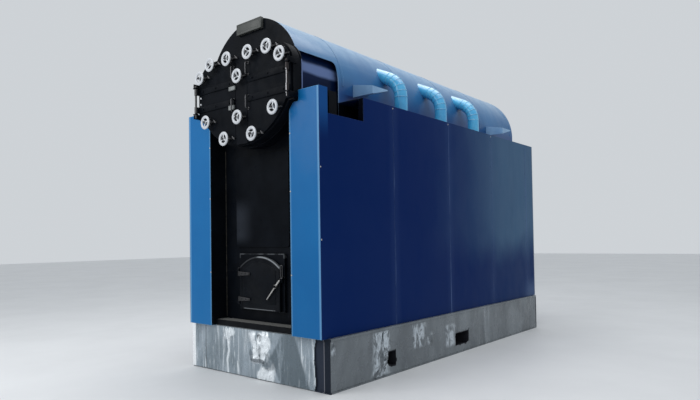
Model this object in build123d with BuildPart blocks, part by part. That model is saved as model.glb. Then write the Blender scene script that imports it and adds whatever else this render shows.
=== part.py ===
"""Packaged solid-fuel steam boiler: a smoke-tube drum over a clad furnace on a steel base.

X is to the right, Y to the rear, Z up. The origin is the centre of the base underside.
"""
import math
import os

from build123d import *

os.makedirs("parts", exist_ok=True)

# Driving sizes, in millimetres
drum_radius = 690
lagging_thickness = 55
roof_deck_width = 280
wall_thickness = 60
sheet_thickness = 5
housing_length = 5300
wall_top = 3050
base_height = 540
base_overhang = 40
base_inset = 70

# Housing walls
sheet_width = 1250
seam_gap = 3
notch_length = 576
notch_depth = 260
deck_thickness = 12

# Front columns and recess
column_width = 417
column_depth = 127
column_plate = 8
box_clearance = 14
recess_depth = 220
liner_thickness = 8
sill_height = 66
sill_depth = 150
front_wall_thickness = 120
cover_width = 880
cover_proud = 20
cover_corner = 20
cover_gap_below = 75
cover_gap_above = 70

# Drum and its cladding
drum_axis_rise = 200
drum_plate = 16
tube_plate_thickness = 18
tube_plate_set_back = 17
cladding_sheet = 4
cladding_skirt_drop = 150
cladding_front = 83
cut_out_gap = 13
cut_out_rise = 260
cut_out_corner = 60
drum_rear_gap = 70
rear_plate_inset = 20
rear_plate_thickness = 8
name_plate_width = 410
name_plate_depth = 40
name_plate_height = 120
name_plate_drop = 20
gas_hole_margin = 80
gas_hole_sides = 24
tube_outer_radius = 48
tube_wall = 5
tube_edge_gap = 9
tube_sides = 8

# Smoke box and its leaves, placed from the drum axis
box_side_lap = 45
box_rise = 350
box_shoulder_radius = 280
box_side_drop = 300
box_step = 70
box_drop = 680
box_front = -50
box_back = 75
box_plate = 12
box_flange = 60
box_back_flange = 8
leaf_thickness = 20
leaf_gap = 5
leaf_edge_drop = 20
bar_half_width = 95
leaf_bar_gap = 8
leaf_belly_share = 0.5584
leaf_belly_rise = 132

# Hinges and pull handles of the leaves
pin_reach = 45
pin_radius = 12
pin_clearance = 0.5
pin_head_thickness = 10
pin_head_lip = 7
knuckle_radius = 18
knuckle_sides = 12
strap_height = 70
strap_thickness = 12
strap_end_gap = 10
strap_return = 26
strap_rises = (25, -185)
ear_thickness = 14
ear_gap = 6
ear_margin = 14
arm_thickness = 12
arm_height = 60
arm_lap = 44
handle_inset = 19
handle_radius = 7
handle_reach = 42
handle_rises = ((70, 210), (-300, -150))

# Handwheels and clamp screws, placed by shares of the leaf and rises from the drum axis
wheel_radius = 80
wheel_rim_width = 32
wheel_rim_depth = 20
wheel_hub_radius = 20
wheel_spoke_width = 14
wheel_spoke_depth = 12
wheel_sides = 12
wheel_reach = 65
screw_radius = 10
screw_sides = 8
clamp_plate_size = 60
clamp_plate_thickness = 10
leaf_wheel_shares = (0.8766, 0.6234, 0.2312, 0.7364, 0.3052)
leaf_wheel_rises = (170, 290, 295, -360, -590)
centre_wheel_rises = (70, -380)

# Fire door, its frame and its hinges
door_width = 660
door_offset = 5
door_side_height = 480
door_arch_rise = 120
door_thickness = 32
door_border = 24
door_panel_depth = 6
frame_thickness = 32
frame_gap = 6
frame_foot = 195
frame_side_border = 45
frame_bottom_border = 10
frame_top_border = 30
hole_lap = 90
hole_foot = 55
hole_arch_drop = 75
door_pin_offset = 27
door_pin_set_back = 10
door_pin_radius = 9
door_knuckle_radius = 17
door_strap_length = 200
door_strap_height = 55
door_strap_thickness = 10
upper_strap_drop = 80
lower_strap_rise = 110
lug_height = 26
lug_gap = 5

# Latch and keeper
latch_inset = 50
latch_rise = 275
latch_stud_radius = 8
latch_hub_radius = 20
latch_thickness = 22
latch_gap = 6
keeper_set_back = 2
keeper_width = 24
keeper_height = 60
latch_stud_head = 8
latch_stud_play = 2
lever_reach = 140
lever_drop = 150
tongue_reach = 72
tongue_rise = 72
bar_root = 11
bar_tip = 7

# Riser pipes, placed as shares of the length
pipe_radius = 80
pipe_sides = 12
pipe_shares = (0.30189, 0.47736, 0.65057)
pipe_bend_radius = 280
pipe_gores = 3
pipe_wall_distance = 60
pipe_corner_rise = 170
pipe_root_angle = 38.35
pipe_root_depth = 92.2
pipe_end_gap = 0.5

# Brackets on the cladding skirts, placed as shares of the length
bracket_shares = (0.17925, 0.81132)
bracket_length = 290
bracket_lap = 5
bracket_foot = 105
bracket_outer_rise = 195
bracket_inner_rise = 250
bracket_lip = 10

# Base, with fork pockets and cross beams placed as shares of the length
base_web = 12
web_set_back = 10
base_flange_width = 84
base_flange_thickness = 16
fork_shares = (0.19434, 0.51132)
fork_width = 360
fork_height = 180
fork_bottom = 90
fork_wall = 10
weld_gap = 1
cross_beam_shares = (0.10566, 0.29434, 0.41132, 0.63774, 0.76415, 0.89057)
cross_beam_web = 12
cross_beam_flange = 110

# Furnace inside
lining_thickness = 130
lining_set_in = 175
lining_drum_gap = 110
grate_drop = 100
grate_bar_width = 100
grate_bar_height = 70
grate_side_gap = 20
grate_half_count = 5
grate_bearer_shares = (0.1, 0.5, 0.9)
grate_length = 3000
grate_gap = 10
bridge_wall_thickness = 240
bridge_wall_rise = 1000

# Widths worked out from the drum to the outside
cladding_radius = drum_radius + lagging_thickness
core_inner = cladding_radius + roof_deck_width
core_outer = core_inner + wall_thickness
half_width = core_outer + sheet_thickness
base_half = half_width + base_overhang
base_web_outer = base_half - web_set_back
column_inner = core_outer - column_width
lining_half_gap = core_inner - lining_set_in - lining_thickness
gas_hole_radius = drum_radius - gas_hole_margin
grate_pitch = (lining_half_gap - grate_side_gap - grate_bar_width / 2) / grate_half_count

# Heights
drum_axis = wall_top + drum_axis_rise
wall_z = (base_height + wall_top) / 2
wall_height = wall_top - base_height
notch_floor = wall_top - notch_depth
cladding_skirt_bottom = wall_top - cladding_skirt_drop
cut_out_top = drum_axis + cut_out_rise
flange_bottoms = (0, base_height - deck_thickness - base_flange_thickness)

# Depths, from the front of the columns to the rear
front = -housing_length / 2
rear = housing_length / 2
base_front = front + base_inset
base_rear = rear - base_inset
fire_wall_front = front + recess_depth
fire_wall_back = fire_wall_front + front_wall_thickness
drum_front = front + cladding_front
drum_rear = rear - drum_rear_gap
deck_front = front + column_depth + notch_length
deck_rear = rear - sheet_thickness - wall_thickness
tube_front = drum_front + tube_plate_set_back + tube_plate_thickness
tube_rear = drum_rear - tube_plate_set_back - tube_plate_thickness
fork_places = [front + share * housing_length for share in fork_shares]
cross_beam_places = [front + share * housing_length for share in cross_beam_shares]
pipe_places = [front + share * housing_length for share in pipe_shares]
bracket_places = [front + share * housing_length for share in bracket_shares]

# Smoke box and leaves
box_half_width = cladding_radius + box_side_lap
box_top = drum_axis + box_rise
box_side_bottom = drum_axis - box_side_drop
box_bottom = drum_axis - box_drop
shoulder_x = box_half_width - box_shoulder_radius
shoulder_z = box_top - box_shoulder_radius
leaf_front = front + box_front - leaf_gap - leaf_thickness
leaf_inner = bar_half_width + leaf_bar_gap
leaf_half_width = box_half_width - leaf_edge_drop
leaf_step_x = leaf_half_width - box_step
leaf_foot = box_side_bottom + leaf_edge_drop
pin_x = leaf_half_width
pin_y = leaf_front - pin_reach
strap_heights = [drum_axis + rise for rise in strap_rises]
wheel_y = leaf_front - wheel_reach
leaf_wheel_places = [
    (share * leaf_half_width, wheel_y, drum_axis + rise)
    for share, rise in zip(leaf_wheel_shares, leaf_wheel_rises)
]
centre_wheel_places = [(0, wheel_y, drum_axis + rise) for rise in centre_wheel_rises]

# Fire door, frame and cover
frame_bottom = base_height + frame_foot
frame_front = fire_wall_front - frame_thickness
frame_half_width = door_width / 2 + frame_side_border
door_left = door_offset - door_width / 2
door_right = door_offset + door_width / 2
door_bottom = frame_bottom + frame_bottom_border
door_shoulder = door_bottom + door_side_height
door_apex = door_shoulder + door_arch_rise
door_front = frame_front - frame_gap - door_thickness
frame_top = door_apex + frame_top_border
hole_half_width = door_width / 2 - hole_lap
hole_bottom = door_bottom + hole_foot
hole_shoulder = door_shoulder - hole_foot
hole_apex = door_apex - hole_arch_drop
door_pin_x = door_left - door_pin_offset
door_pin_y = door_front + door_pin_set_back
door_strap_heights = (door_shoulder - upper_strap_drop, door_bottom + lower_strap_rise)
latch_x = door_right - latch_inset
latch_z = door_bottom + latch_rise
cover_bottom = frame_top + cover_gap_below
cover_top = box_bottom - cover_gap_above

# Furnace
lining_top = drum_axis - drum_radius - lining_drum_gap
grate_top = hole_bottom - grate_drop
bridge_wall_top = grate_top + bridge_wall_rise

# Tube positions seen from the front, measured from the drum axis
tube_rows = (-1.75, -0.75, 0.25)
tube_columns = (-1.5, -0.5, 0.5, 1.5)
tube_spread = math.hypot(max(tube_columns), min(tube_rows))
tube_pitch = (gas_hole_radius - tube_outer_radius - tube_edge_gap) / tube_spread
tube_spots = []
for row_share in tube_rows:
    for column_share in tube_columns:
        tube_spots.append((column_share * tube_pitch, drum_axis + row_share * tube_pitch))

# Outline of the smoke box, and the gas hole inside it, seen from the front
with BuildSketch() as box_outline:
    with BuildLine():
        Line((-shoulder_x, box_top), (shoulder_x, box_top))
        RadiusArc((shoulder_x, box_top), (box_half_width, shoulder_z), box_shoulder_radius)
        Polyline(
            (box_half_width, shoulder_z),
            (box_half_width, box_side_bottom),
            (box_half_width - box_step, box_side_bottom),
        )
        ThreePointArc(
            (box_half_width - box_step, box_side_bottom),
            (0, box_bottom),
            (-box_half_width + box_step, box_side_bottom),
        )
        Polyline(
            (-box_half_width + box_step, box_side_bottom),
            (-box_half_width, box_side_bottom),
            (-box_half_width, shoulder_z),
        )
        RadiusArc((-box_half_width, shoulder_z), (-shoulder_x, box_top), box_shoulder_radius)
    make_face()

with BuildSketch() as gas_hole:
    add(box_outline.sketch_local)
    offset(amount=-box_flange, mode=Mode.REPLACE)
    with Locations((0, drum_axis)):
        RegularPolygon(gas_hole_radius, gas_hole_sides, mode=Mode.INTERSECT)

# Base frame: a ring of channel beams, open at the fork pockets
with BuildPart() as base_frame:
    web_height = base_height - deck_thickness - 2 * base_flange_thickness
    web_rear = base_rear - web_set_back
    with BuildSketch(Plane.XY.offset(base_flange_thickness)):
        Rectangle(2 * base_web_outer, 2 * web_rear)
        Rectangle(2 * base_web_outer - 2 * base_web, 2 * web_rear - 2 * base_web, mode=Mode.SUBTRACT)
    extrude(amount=web_height)
    for flange_bottom in flange_bottoms:
        with BuildSketch(Plane.XY.offset(flange_bottom)):
            Rectangle(2 * base_half, 2 * base_rear)
            Rectangle(
                2 * base_half - 2 * base_flange_width,
                2 * base_rear - 2 * base_flange_width,
                mode=Mode.SUBTRACT,
            )
        extrude(amount=base_flange_thickness)
    for fork_y in fork_places:
        with Locations((0, fork_y, fork_bottom + fork_height / 2)):
            Box(3 * base_half, fork_width, fork_height, mode=Mode.SUBTRACT)
base_frame.part.label = "base_frame"
export_step(base_frame.part, "parts/base_frame.step")

# Base deck plate
with BuildPart() as base_deck:
    with Locations((0, 0, base_height - deck_thickness / 2)):
        Box(2 * base_half, base_rear - base_front, deck_thickness)
base_deck.part.label = "base_deck"
export_step(base_deck.part, "parts/base_deck.step")

# Fork pockets through the base, and the cross beams under the deck
with BuildPart() as base_cross_members:
    for fork_y in fork_places:
        with Locations((0, fork_y, fork_bottom + fork_height / 2)):
            Box(2 * base_web_outer, fork_width, fork_height)
            Box(
                2 * base_web_outer,
                fork_width - 2 * fork_wall,
                fork_height - 2 * fork_wall,
                mode=Mode.SUBTRACT,
            )
    for beam_y in cross_beam_places:
        beam_height = base_height - deck_thickness
        with Locations((0, beam_y, beam_height / 2)):
            Box(2 * (base_half - base_flange_width), cross_beam_web, beam_height)
        for flange_bottom in flange_bottoms:
            flange_z = flange_bottom + base_flange_thickness / 2
            with Locations((0, beam_y, flange_z)):
                Box(
                    2 * (base_half - base_flange_width),
                    cross_beam_flange,
                    base_flange_thickness,
                )
base_cross_members.part.label = "base_cross_members"
export_step(base_cross_members.part, "parts/base_cross_members.step")

# Side walls: insulated cores with the notch behind each column
with BuildPart() as side_wall_cores:
    core_length = rear - sheet_thickness - front - column_depth
    core_y = front + column_depth + core_length / 2
    core_x = core_outer - wall_thickness / 2
    notch_y = front + column_depth + notch_length / 2
    notch_z = (notch_floor + wall_top) / 2
    with Locations((core_x, core_y, wall_z), (-core_x, core_y, wall_z)):
        Box(wall_thickness, core_length, wall_height)
    with Locations((core_x, notch_y, notch_z), (-core_x, notch_y, notch_z)):
        Box(2 * wall_thickness, notch_length, notch_depth, mode=Mode.SUBTRACT)
side_wall_cores.part.label = "side_wall_cores"
export_step(side_wall_cores.part, "parts/side_wall_cores.step")

with BuildPart() as rear_wall_core:
    with Locations((0, rear - sheet_thickness - wall_thickness / 2, wall_z)):
        Box(2 * core_inner, wall_thickness, wall_height)
rear_wall_core.part.label = "rear_wall_core"
export_step(rear_wall_core.part, "parts/rear_wall_core.step")

# Outer sheets of both sides and the rear, with open seams between them
with BuildPart() as housing_sheets:
    sheet_x = half_width - sheet_thickness / 2
    with Locations((sheet_x, 0, wall_z), (-sheet_x, 0, wall_z)):
        Box(sheet_thickness, housing_length, wall_height)
    with Locations((0, rear - sheet_thickness / 2, wall_z)):
        Box(2 * core_outer - 2 * seam_gap, sheet_thickness, wall_height)
    seam_y = front + sheet_width
    while seam_y < rear - sheet_thickness:
        with Locations((0, seam_y, wall_z)):
            Box(3 * half_width, seam_gap, 2 * wall_height, mode=Mode.SUBTRACT)
        seam_y += sheet_width
    with Locations((0, rear, wall_z)):
        Box(seam_gap, 4 * sheet_thickness, 2 * wall_height, mode=Mode.SUBTRACT)
    with Locations((0, notch_y, notch_z)):
        Box(3 * half_width, notch_length, notch_depth, mode=Mode.SUBTRACT)
housing_sheets.part.label = "housing_sheets"
export_step(housing_sheets.part, "parts/housing_sheets.step")

# Roof decks between the walls and the cladding skirts
with BuildPart() as roof_decks:
    deck_x = cladding_radius + roof_deck_width / 2
    deck_y = (deck_front + deck_rear) / 2
    deck_z = wall_top - deck_thickness / 2
    with Locations((deck_x, deck_y, deck_z), (-deck_x, deck_y, deck_z)):
        Box(roof_deck_width, deck_rear - deck_front, deck_thickness)
roof_decks.part.label = "roof_decks"
export_step(roof_decks.part, "parts/roof_decks.step")

# Front columns: folded covers, open at the back
with BuildPart() as front_columns:
    with BuildSketch(Plane.XZ.offset(-front)) as column_face:
        with Locations(((column_inner + core_outer) / 2, wall_z)):
            Rectangle(column_width, wall_height)
        add(
            offset(box_outline.sketch_local, amount=box_clearance, mode=Mode.PRIVATE),
            mode=Mode.SUBTRACT,
        )
    extrude(amount=-column_depth)
    with BuildSketch(Plane.XZ.offset(-front - column_plate)):
        add(column_face.sketch_local)
        offset(amount=-column_plate, mode=Mode.REPLACE)
    extrude(amount=-column_depth, mode=Mode.SUBTRACT)
    mirror(about=Plane.YZ)
front_columns.part.label = "front_columns"
export_step(front_columns.part, "parts/front_columns.step")

# Dark plates that line the sides of the recess
with BuildPart() as recess_liners:
    liner_bottom = base_height + sill_height
    liner_length = recess_depth - seam_gap
    for side in (-1, 1):
        liner_x = side * (column_inner - liner_thickness / 2)
        with Locations((liner_x, front + recess_depth / 2, (liner_bottom + wall_top) / 2)):
            Box(liner_thickness, liner_length, wall_top - liner_bottom)
    with BuildSketch(Plane.XZ.offset(-front)):
        add(offset(box_outline.sketch_local, amount=box_clearance, mode=Mode.PRIVATE))
    extrude(amount=-2 * recess_depth, mode=Mode.SUBTRACT)
recess_liners.part.label = "recess_liners"
export_step(recess_liners.part, "parts/recess_liners.step")

# Ledge at the foot of the recess
with BuildPart() as recess_sill:
    sill_y = front + recess_depth - sill_depth / 2
    with Locations((0, sill_y, base_height + sill_height / 2)):
        Box(2 * column_inner, sill_depth, sill_height)
recess_sill.part.label = "recess_sill"
export_step(recess_sill.part, "parts/recess_sill.step")

# Furnace front wall, split beside, over and under the fire hole
with BuildPart() as furnace_front_sides:
    side_width = core_inner - hole_half_width
    for side in (-1, 1):
        with Locations(
            (
                side * (hole_half_width + side_width / 2),
                fire_wall_front + front_wall_thickness / 2,
                (hole_bottom + hole_shoulder) / 2,
            )
        ):
            Box(side_width, front_wall_thickness, hole_shoulder - hole_bottom)
furnace_front_sides.part.label = "furnace_front_sides"
export_step(furnace_front_sides.part, "parts/furnace_front_sides.step")

with BuildPart() as furnace_front_sill:
    with Locations(
        (0, fire_wall_front + front_wall_thickness / 2, (base_height + hole_bottom) / 2)
    ):
        Box(2 * core_inner, front_wall_thickness, hole_bottom - base_height)
furnace_front_sill.part.label = "furnace_front_sill"
export_step(furnace_front_sill.part, "parts/furnace_front_sill.step")

with BuildPart() as furnace_front_lintel:
    with BuildSketch(Plane.XZ.offset(-fire_wall_front)):
        with BuildLine():
            ThreePointArc(
                (-hole_half_width, hole_shoulder),
                (0, hole_apex),
                (hole_half_width, hole_shoulder),
            )
            Polyline(
                (hole_half_width, hole_shoulder),
                (core_inner, hole_shoulder),
                (core_inner, wall_top),
                (-core_inner, wall_top),
                (-core_inner, hole_shoulder),
                (-hole_half_width, hole_shoulder),
            )
        make_face()
        with Locations((0, drum_axis)):
            Circle(drum_radius + weld_gap, mode=Mode.SUBTRACT)
    extrude(amount=-front_wall_thickness)
furnace_front_lintel.part.label = "furnace_front_lintel"
export_step(furnace_front_lintel.part, "parts/furnace_front_lintel.step")

# Bolted cover over the fire door
with BuildPart() as recess_cover:
    with Locations((0, fire_wall_front - cover_proud / 2, (cover_bottom + cover_top) / 2)):
        Box(cover_width, cover_proud, cover_top - cover_bottom)
    chamfer(recess_cover.edges().filter_by(Axis.Y), cover_corner)
recess_cover.part.label = "recess_cover"
export_step(recess_cover.part, "parts/recess_cover.step")

# Drum shell
with BuildPart() as drum_shell:
    with BuildSketch(Plane.XZ.offset(-drum_front)):
        with Locations((0, drum_axis)):
            Circle(drum_radius)
            Circle(drum_radius - drum_plate, mode=Mode.SUBTRACT)
    extrude(amount=-(drum_rear - drum_front))
drum_shell.part.label = "drum_shell"
export_step(drum_shell.part, "parts/drum_shell.step")

# Tube bundle: smoke tubes set into both tube plates, open from end to end
with BuildPart() as tube_bundle:
    for plate_y in (drum_front + tube_plate_set_back, tube_rear):
        with BuildSketch(Plane.XZ.offset(-plate_y)):
            with Locations((0, drum_axis)):
                Circle(drum_radius - drum_plate - weld_gap)
        extrude(amount=-tube_plate_thickness)
    with BuildSketch(Plane.XZ.offset(-tube_front)):
        with Locations(tube_spots):
            RegularPolygon(tube_outer_radius, tube_sides)
    extrude(amount=-(tube_rear - tube_front))
    with BuildSketch(Plane.XZ.offset(-drum_front - tube_plate_set_back)):
        with Locations(tube_spots):
            RegularPolygon(tube_outer_radius - tube_wall, tube_sides)
    extrude(amount=-(drum_rear - drum_front), mode=Mode.SUBTRACT)
tube_bundle.part.label = "tube_bundle"
export_step(tube_bundle.part, "parts/tube_bundle.step")

# Drum cladding: an arch with skirts, cut away at both sides of the front
with BuildPart() as drum_cladding:
    with BuildSketch(Plane.XZ.offset(-drum_front)) as cladding_arch:
        with BuildLine():
            ThreePointArc(
                (-cladding_radius, drum_axis),
                (0, drum_axis + cladding_radius),
                (cladding_radius, drum_axis),
            )
            Polyline(
                (cladding_radius, drum_axis),
                (cladding_radius, cladding_skirt_bottom),
                (-cladding_radius, cladding_skirt_bottom),
                (-cladding_radius, drum_axis),
            )
        make_face()
        with BuildLine():
            inner_radius = cladding_radius - cladding_sheet
            ThreePointArc(
                (-inner_radius, drum_axis),
                (0, drum_axis + inner_radius),
                (inner_radius, drum_axis),
            )
            Polyline(
                (inner_radius, drum_axis),
                (inner_radius, cladding_skirt_bottom - weld_gap),
                (-inner_radius, cladding_skirt_bottom - weld_gap),
                (-inner_radius, drum_axis),
            )
        make_face(mode=Mode.SUBTRACT)
    extrude(amount=-(rear - drum_front))
    with BuildSketch(Plane.YZ):
        with BuildLine():
            FilletPolyline(
                (drum_front - weld_gap, cut_out_top),
                (deck_front - cut_out_gap, cut_out_top),
                (deck_front - cut_out_gap, cladding_skirt_bottom - weld_gap),
                radius=cut_out_corner,
            )
            Polyline(
                (deck_front - cut_out_gap, cladding_skirt_bottom - weld_gap),
                (drum_front - weld_gap, cladding_skirt_bottom - weld_gap),
                (drum_front - weld_gap, cut_out_top),
            )
        make_face()
    extrude(amount=2 * cladding_radius, both=True, mode=Mode.SUBTRACT)
    with Locations((0, deck_rear + wall_thickness, wall_top - cladding_skirt_drop / 2)):
        Box(
            3 * cladding_radius,
            2 * wall_thickness,
            cladding_skirt_drop + 2 * weld_gap,
            mode=Mode.SUBTRACT,
        )
drum_cladding.part.label = "drum_cladding"
export_step(drum_cladding.part, "parts/drum_cladding.step")

with BuildPart() as cladding_rear_plate:
    with BuildSketch(Plane.XZ.offset(rear_plate_inset - rear)):
        with BuildLine():
            plate_radius = cladding_radius - cladding_sheet - weld_gap
            ThreePointArc(
                (-plate_radius, drum_axis),
                (0, drum_axis + plate_radius),
                (plate_radius, drum_axis),
            )
            Polyline(
                (plate_radius, drum_axis),
                (plate_radius, wall_top + weld_gap),
                (-plate_radius, wall_top + weld_gap),
                (-plate_radius, drum_axis),
            )
        make_face()
    extrude(amount=-rear_plate_thickness)
cladding_rear_plate.part.label = "cladding_rear_plate"
export_step(cladding_rear_plate.part, "parts/cladding_rear_plate.step")

# Front ring plate of the cladding, with the blank name plate box on it
with BuildPart() as cladding_front_plate:
    with BuildSketch(Plane.XZ.offset(-front - box_back)):
        with Locations((0, drum_axis)):
            Circle(cladding_radius)
        with Locations((0, drum_axis - cladding_radius)):
            Rectangle(3 * cladding_radius, 2 * cladding_radius, mode=Mode.SUBTRACT)
        with Locations((0, drum_axis)):
            Circle(drum_radius)
        add(gas_hole.sketch_local, mode=Mode.SUBTRACT)
    extrude(amount=-(cladding_front - box_back))
cladding_front_plate.part.label = "cladding_front_plate"
export_step(cladding_front_plate.part, "parts/cladding_front_plate.step")

with BuildPart() as name_plate:
    name_plate_z = drum_axis + cladding_radius - name_plate_drop - name_plate_height / 2
    with Locations((0, front + box_back - name_plate_depth / 2, name_plate_z)):
        Box(name_plate_width, name_plate_depth, name_plate_height)
name_plate.part.label = "name_plate"
export_step(name_plate.part, "parts/name_plate.step")

# Smoke box: a ring wall, its sealing flange in front and the plate at its back
with BuildPart() as smoke_box_wall:
    with BuildSketch(Plane.XZ.offset(-front - box_front - box_plate)):
        add(box_outline.sketch_local)
        add(
            offset(box_outline.sketch_local, amount=-box_plate, mode=Mode.PRIVATE),
            mode=Mode.SUBTRACT,
        )
    extrude(amount=-(box_back - box_front - 2 * box_plate))
smoke_box_wall.part.label = "smoke_box_wall"
export_step(smoke_box_wall.part, "parts/smoke_box_wall.step")

with BuildPart() as smoke_box_flange:
    with BuildSketch(Plane.XZ.offset(-front - box_front)):
        add(box_outline.sketch_local)
        add(
            offset(box_outline.sketch_local, amount=-box_flange, mode=Mode.PRIVATE),
            mode=Mode.SUBTRACT,
        )
    extrude(amount=-box_plate)
smoke_box_flange.part.label = "smoke_box_flange"
export_step(smoke_box_flange.part, "parts/smoke_box_flange.step")

with BuildPart() as smoke_box_back:
    with BuildSketch(Plane.XZ.offset(-front - box_back)):
        add(offset(box_outline.sketch_local, amount=box_back_flange, mode=Mode.PRIVATE))
        add(gas_hole.sketch_local, mode=Mode.SUBTRACT)
    extrude(amount=box_plate)
smoke_box_back.part.label = "smoke_box_back"
export_step(smoke_box_back.part, "parts/smoke_box_back.step")

with BuildPart() as smoke_box_centre_bar:
    bar_depth = leaf_gap + leaf_thickness
    bar_low = box_bottom + box_plate
    bar_high = box_top - box_plate
    with Locations((0, front + box_front - bar_depth / 2, (bar_low + bar_high) / 2)):
        Box(2 * bar_half_width, bar_depth, bar_high - bar_low)
smoke_box_centre_bar.part.label = "smoke_box_centre_bar"
export_step(smoke_box_centre_bar.part, "parts/smoke_box_centre_bar.step")

# Hinge pins of the smoke door leaves, held by ears on arms along the sides of the smoke box
with BuildPart() as smoke_door_pins:
    ear_offset = strap_height / 2 + ear_gap + ear_thickness / 2
    arm_length = front + box_front - pin_y + pin_radius + arm_lap
    arm_y = pin_y - pin_radius + arm_length / 2
    arm_x = box_half_width + arm_thickness / 2
    ear_x = (pin_x - pin_radius - ear_margin + arm_x) / 2
    pin_top = strap_heights[0] + ear_offset + ear_thickness / 2
    pin_foot = strap_heights[1] - ear_offset - ear_thickness / 2
    for side in (-1, 1):
        for strap_z, outward in ((strap_heights[0], 1), (strap_heights[1], -1)):
            ear_z = strap_z + outward * ear_offset
            arm_z = ear_z + outward * (arm_height - ear_thickness) / 2
            with Locations((side * ear_x, pin_y, ear_z)):
                Box(2 * (arm_x - ear_x), 2 * pin_radius + ear_margin, ear_thickness)
            with Locations((side * arm_x, arm_y, arm_z)):
                Box(arm_thickness, arm_length, arm_height)
        with Locations((side * pin_x, pin_y, (pin_top + pin_foot) / 2)):
            Cylinder(pin_radius, pin_top - pin_foot)
        for head_z in (pin_top, pin_foot - pin_head_thickness):
            with BuildSketch(Plane.XY.offset(head_z)):
                with Locations((side * pin_x, pin_y)):
                    RegularPolygon(pin_radius + pin_head_lip, 6)
            extrude(amount=pin_head_thickness)
smoke_door_pins.part.label = "smoke_door_pins"
export_step(smoke_door_pins.part, "parts/smoke_door_pins.step")

# Right smoke door: leaf, straps with knuckles, pull handles, wheels and screws
with BuildPart() as right_smoke_leaf:
    with BuildSketch(Plane.XZ.offset(-leaf_front)):
        with BuildLine():
            leaf_top = box_top - leaf_edge_drop
            leaf_shoulder_radius = box_shoulder_radius - leaf_edge_drop
            Line((leaf_inner, leaf_top), (shoulder_x, leaf_top))
            RadiusArc((shoulder_x, leaf_top), (leaf_half_width, shoulder_z), leaf_shoulder_radius)
            Polyline(
                (leaf_half_width, shoulder_z),
                (leaf_half_width, leaf_foot),
                (leaf_step_x, leaf_foot),
            )
            ThreePointArc(
                (leaf_step_x, leaf_foot),
                (leaf_belly_share * leaf_half_width, box_bottom + leaf_belly_rise),
                (leaf_inner, box_bottom + leaf_edge_drop),
            )
            Line((leaf_inner, box_bottom + leaf_edge_drop), (leaf_inner, leaf_top))
        make_face()
    extrude(amount=-leaf_thickness)
right_smoke_leaf.part.label = "right_smoke_leaf"
export_step(right_smoke_leaf.part, "parts/right_smoke_leaf.step")

with BuildPart() as left_smoke_leaf:
    mirror(right_smoke_leaf.part, about=Plane.YZ)
left_smoke_leaf.part.label = "left_smoke_leaf"
export_step(left_smoke_leaf.part, "parts/left_smoke_leaf.step")

with BuildPart() as right_leaf_fittings:
    for strap_z in strap_heights:
        strap_length = pin_x - leaf_inner - strap_end_gap
        strap_x = leaf_inner + strap_end_gap + strap_length / 2
        with Locations((strap_x, leaf_front - strap_thickness / 2, strap_z)):
            Box(strap_length, strap_thickness, strap_height)
        with Locations((pin_x - strap_return / 2, leaf_front - pin_reach / 2, strap_z)):
            Box(strap_return, pin_reach, strap_height)
        with BuildSketch(Plane.XY.offset(strap_z - strap_height / 2)):
            with Locations((pin_x, pin_y)):
                RegularPolygon(knuckle_radius, knuckle_sides)
        extrude(amount=strap_height)
        with Locations((pin_x, pin_y, strap_z)):
            Cylinder(pin_radius + pin_clearance, strap_height, mode=Mode.SUBTRACT)
    handle_x = leaf_inner + handle_inset
    for low_rise, high_rise in handle_rises:
        handle_z = drum_axis + (low_rise + high_rise) / 2
        with Locations((handle_x, leaf_front - handle_reach, handle_z)):
            Box(2 * handle_radius, 2 * handle_radius, high_rise - low_rise)
        for foot_rise in (low_rise + handle_radius, high_rise - handle_radius):
            foot_z = drum_axis + foot_rise
            with Locations((handle_x, leaf_front - handle_reach / 2, foot_z)):
                Box(2 * handle_radius, handle_reach, 2 * handle_radius)
right_leaf_fittings.part.label = "right_leaf_fittings"
export_step(right_leaf_fittings.part, "parts/right_leaf_fittings.step")

with BuildPart() as left_leaf_fittings:
    mirror(right_leaf_fittings.part, about=Plane.YZ)
left_leaf_fittings.part.label = "left_leaf_fittings"
export_step(left_leaf_fittings.part, "parts/left_leaf_fittings.step")

# One handwheel, its screw and its clamp plate, set at every wheel place
with BuildPart() as handwheel:
    with BuildSketch(Plane.XZ.offset(-wheel_rim_depth / 2)):
        RegularPolygon(wheel_radius, wheel_sides)
        RegularPolygon(wheel_radius - wheel_rim_width, wheel_sides, mode=Mode.SUBTRACT)
    extrude(amount=wheel_rim_depth)
    with BuildSketch(Plane.XZ.offset(-wheel_spoke_depth / 2)):
        with PolarLocations(wheel_radius / 2 - wheel_rim_width / 4, 3, start_angle=90):
            Rectangle(wheel_radius - wheel_rim_width / 2, wheel_spoke_width)
        RegularPolygon(wheel_hub_radius, screw_sides)
    extrude(amount=wheel_spoke_depth)

with BuildPart() as clamp_screw:
    screw_length = wheel_reach - wheel_spoke_depth / 2
    with BuildSketch(Plane.XZ.offset(-wheel_spoke_depth / 2)):
        RegularPolygon(screw_radius, screw_sides)
    extrude(amount=-screw_length)
    with BuildSketch(Plane.XZ.offset(clamp_plate_thickness - wheel_spoke_depth / 2 - screw_length)):
        Rectangle(clamp_plate_size, clamp_plate_size)
    extrude(amount=-clamp_plate_thickness)

with BuildPart() as right_handwheels:
    with Locations(leaf_wheel_places):
        add(handwheel.part)
right_handwheels.part.label = "right_handwheels"
export_step(right_handwheels.part, "parts/right_handwheels.step")

with BuildPart() as left_handwheels:
    mirror(right_handwheels.part, about=Plane.YZ)
left_handwheels.part.label = "left_handwheels"
export_step(left_handwheels.part, "parts/left_handwheels.step")

with BuildPart() as centre_handwheels:
    with Locations(centre_wheel_places):
        add(handwheel.part)
centre_handwheels.part.label = "centre_handwheels"
export_step(centre_handwheels.part, "parts/centre_handwheels.step")

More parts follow.
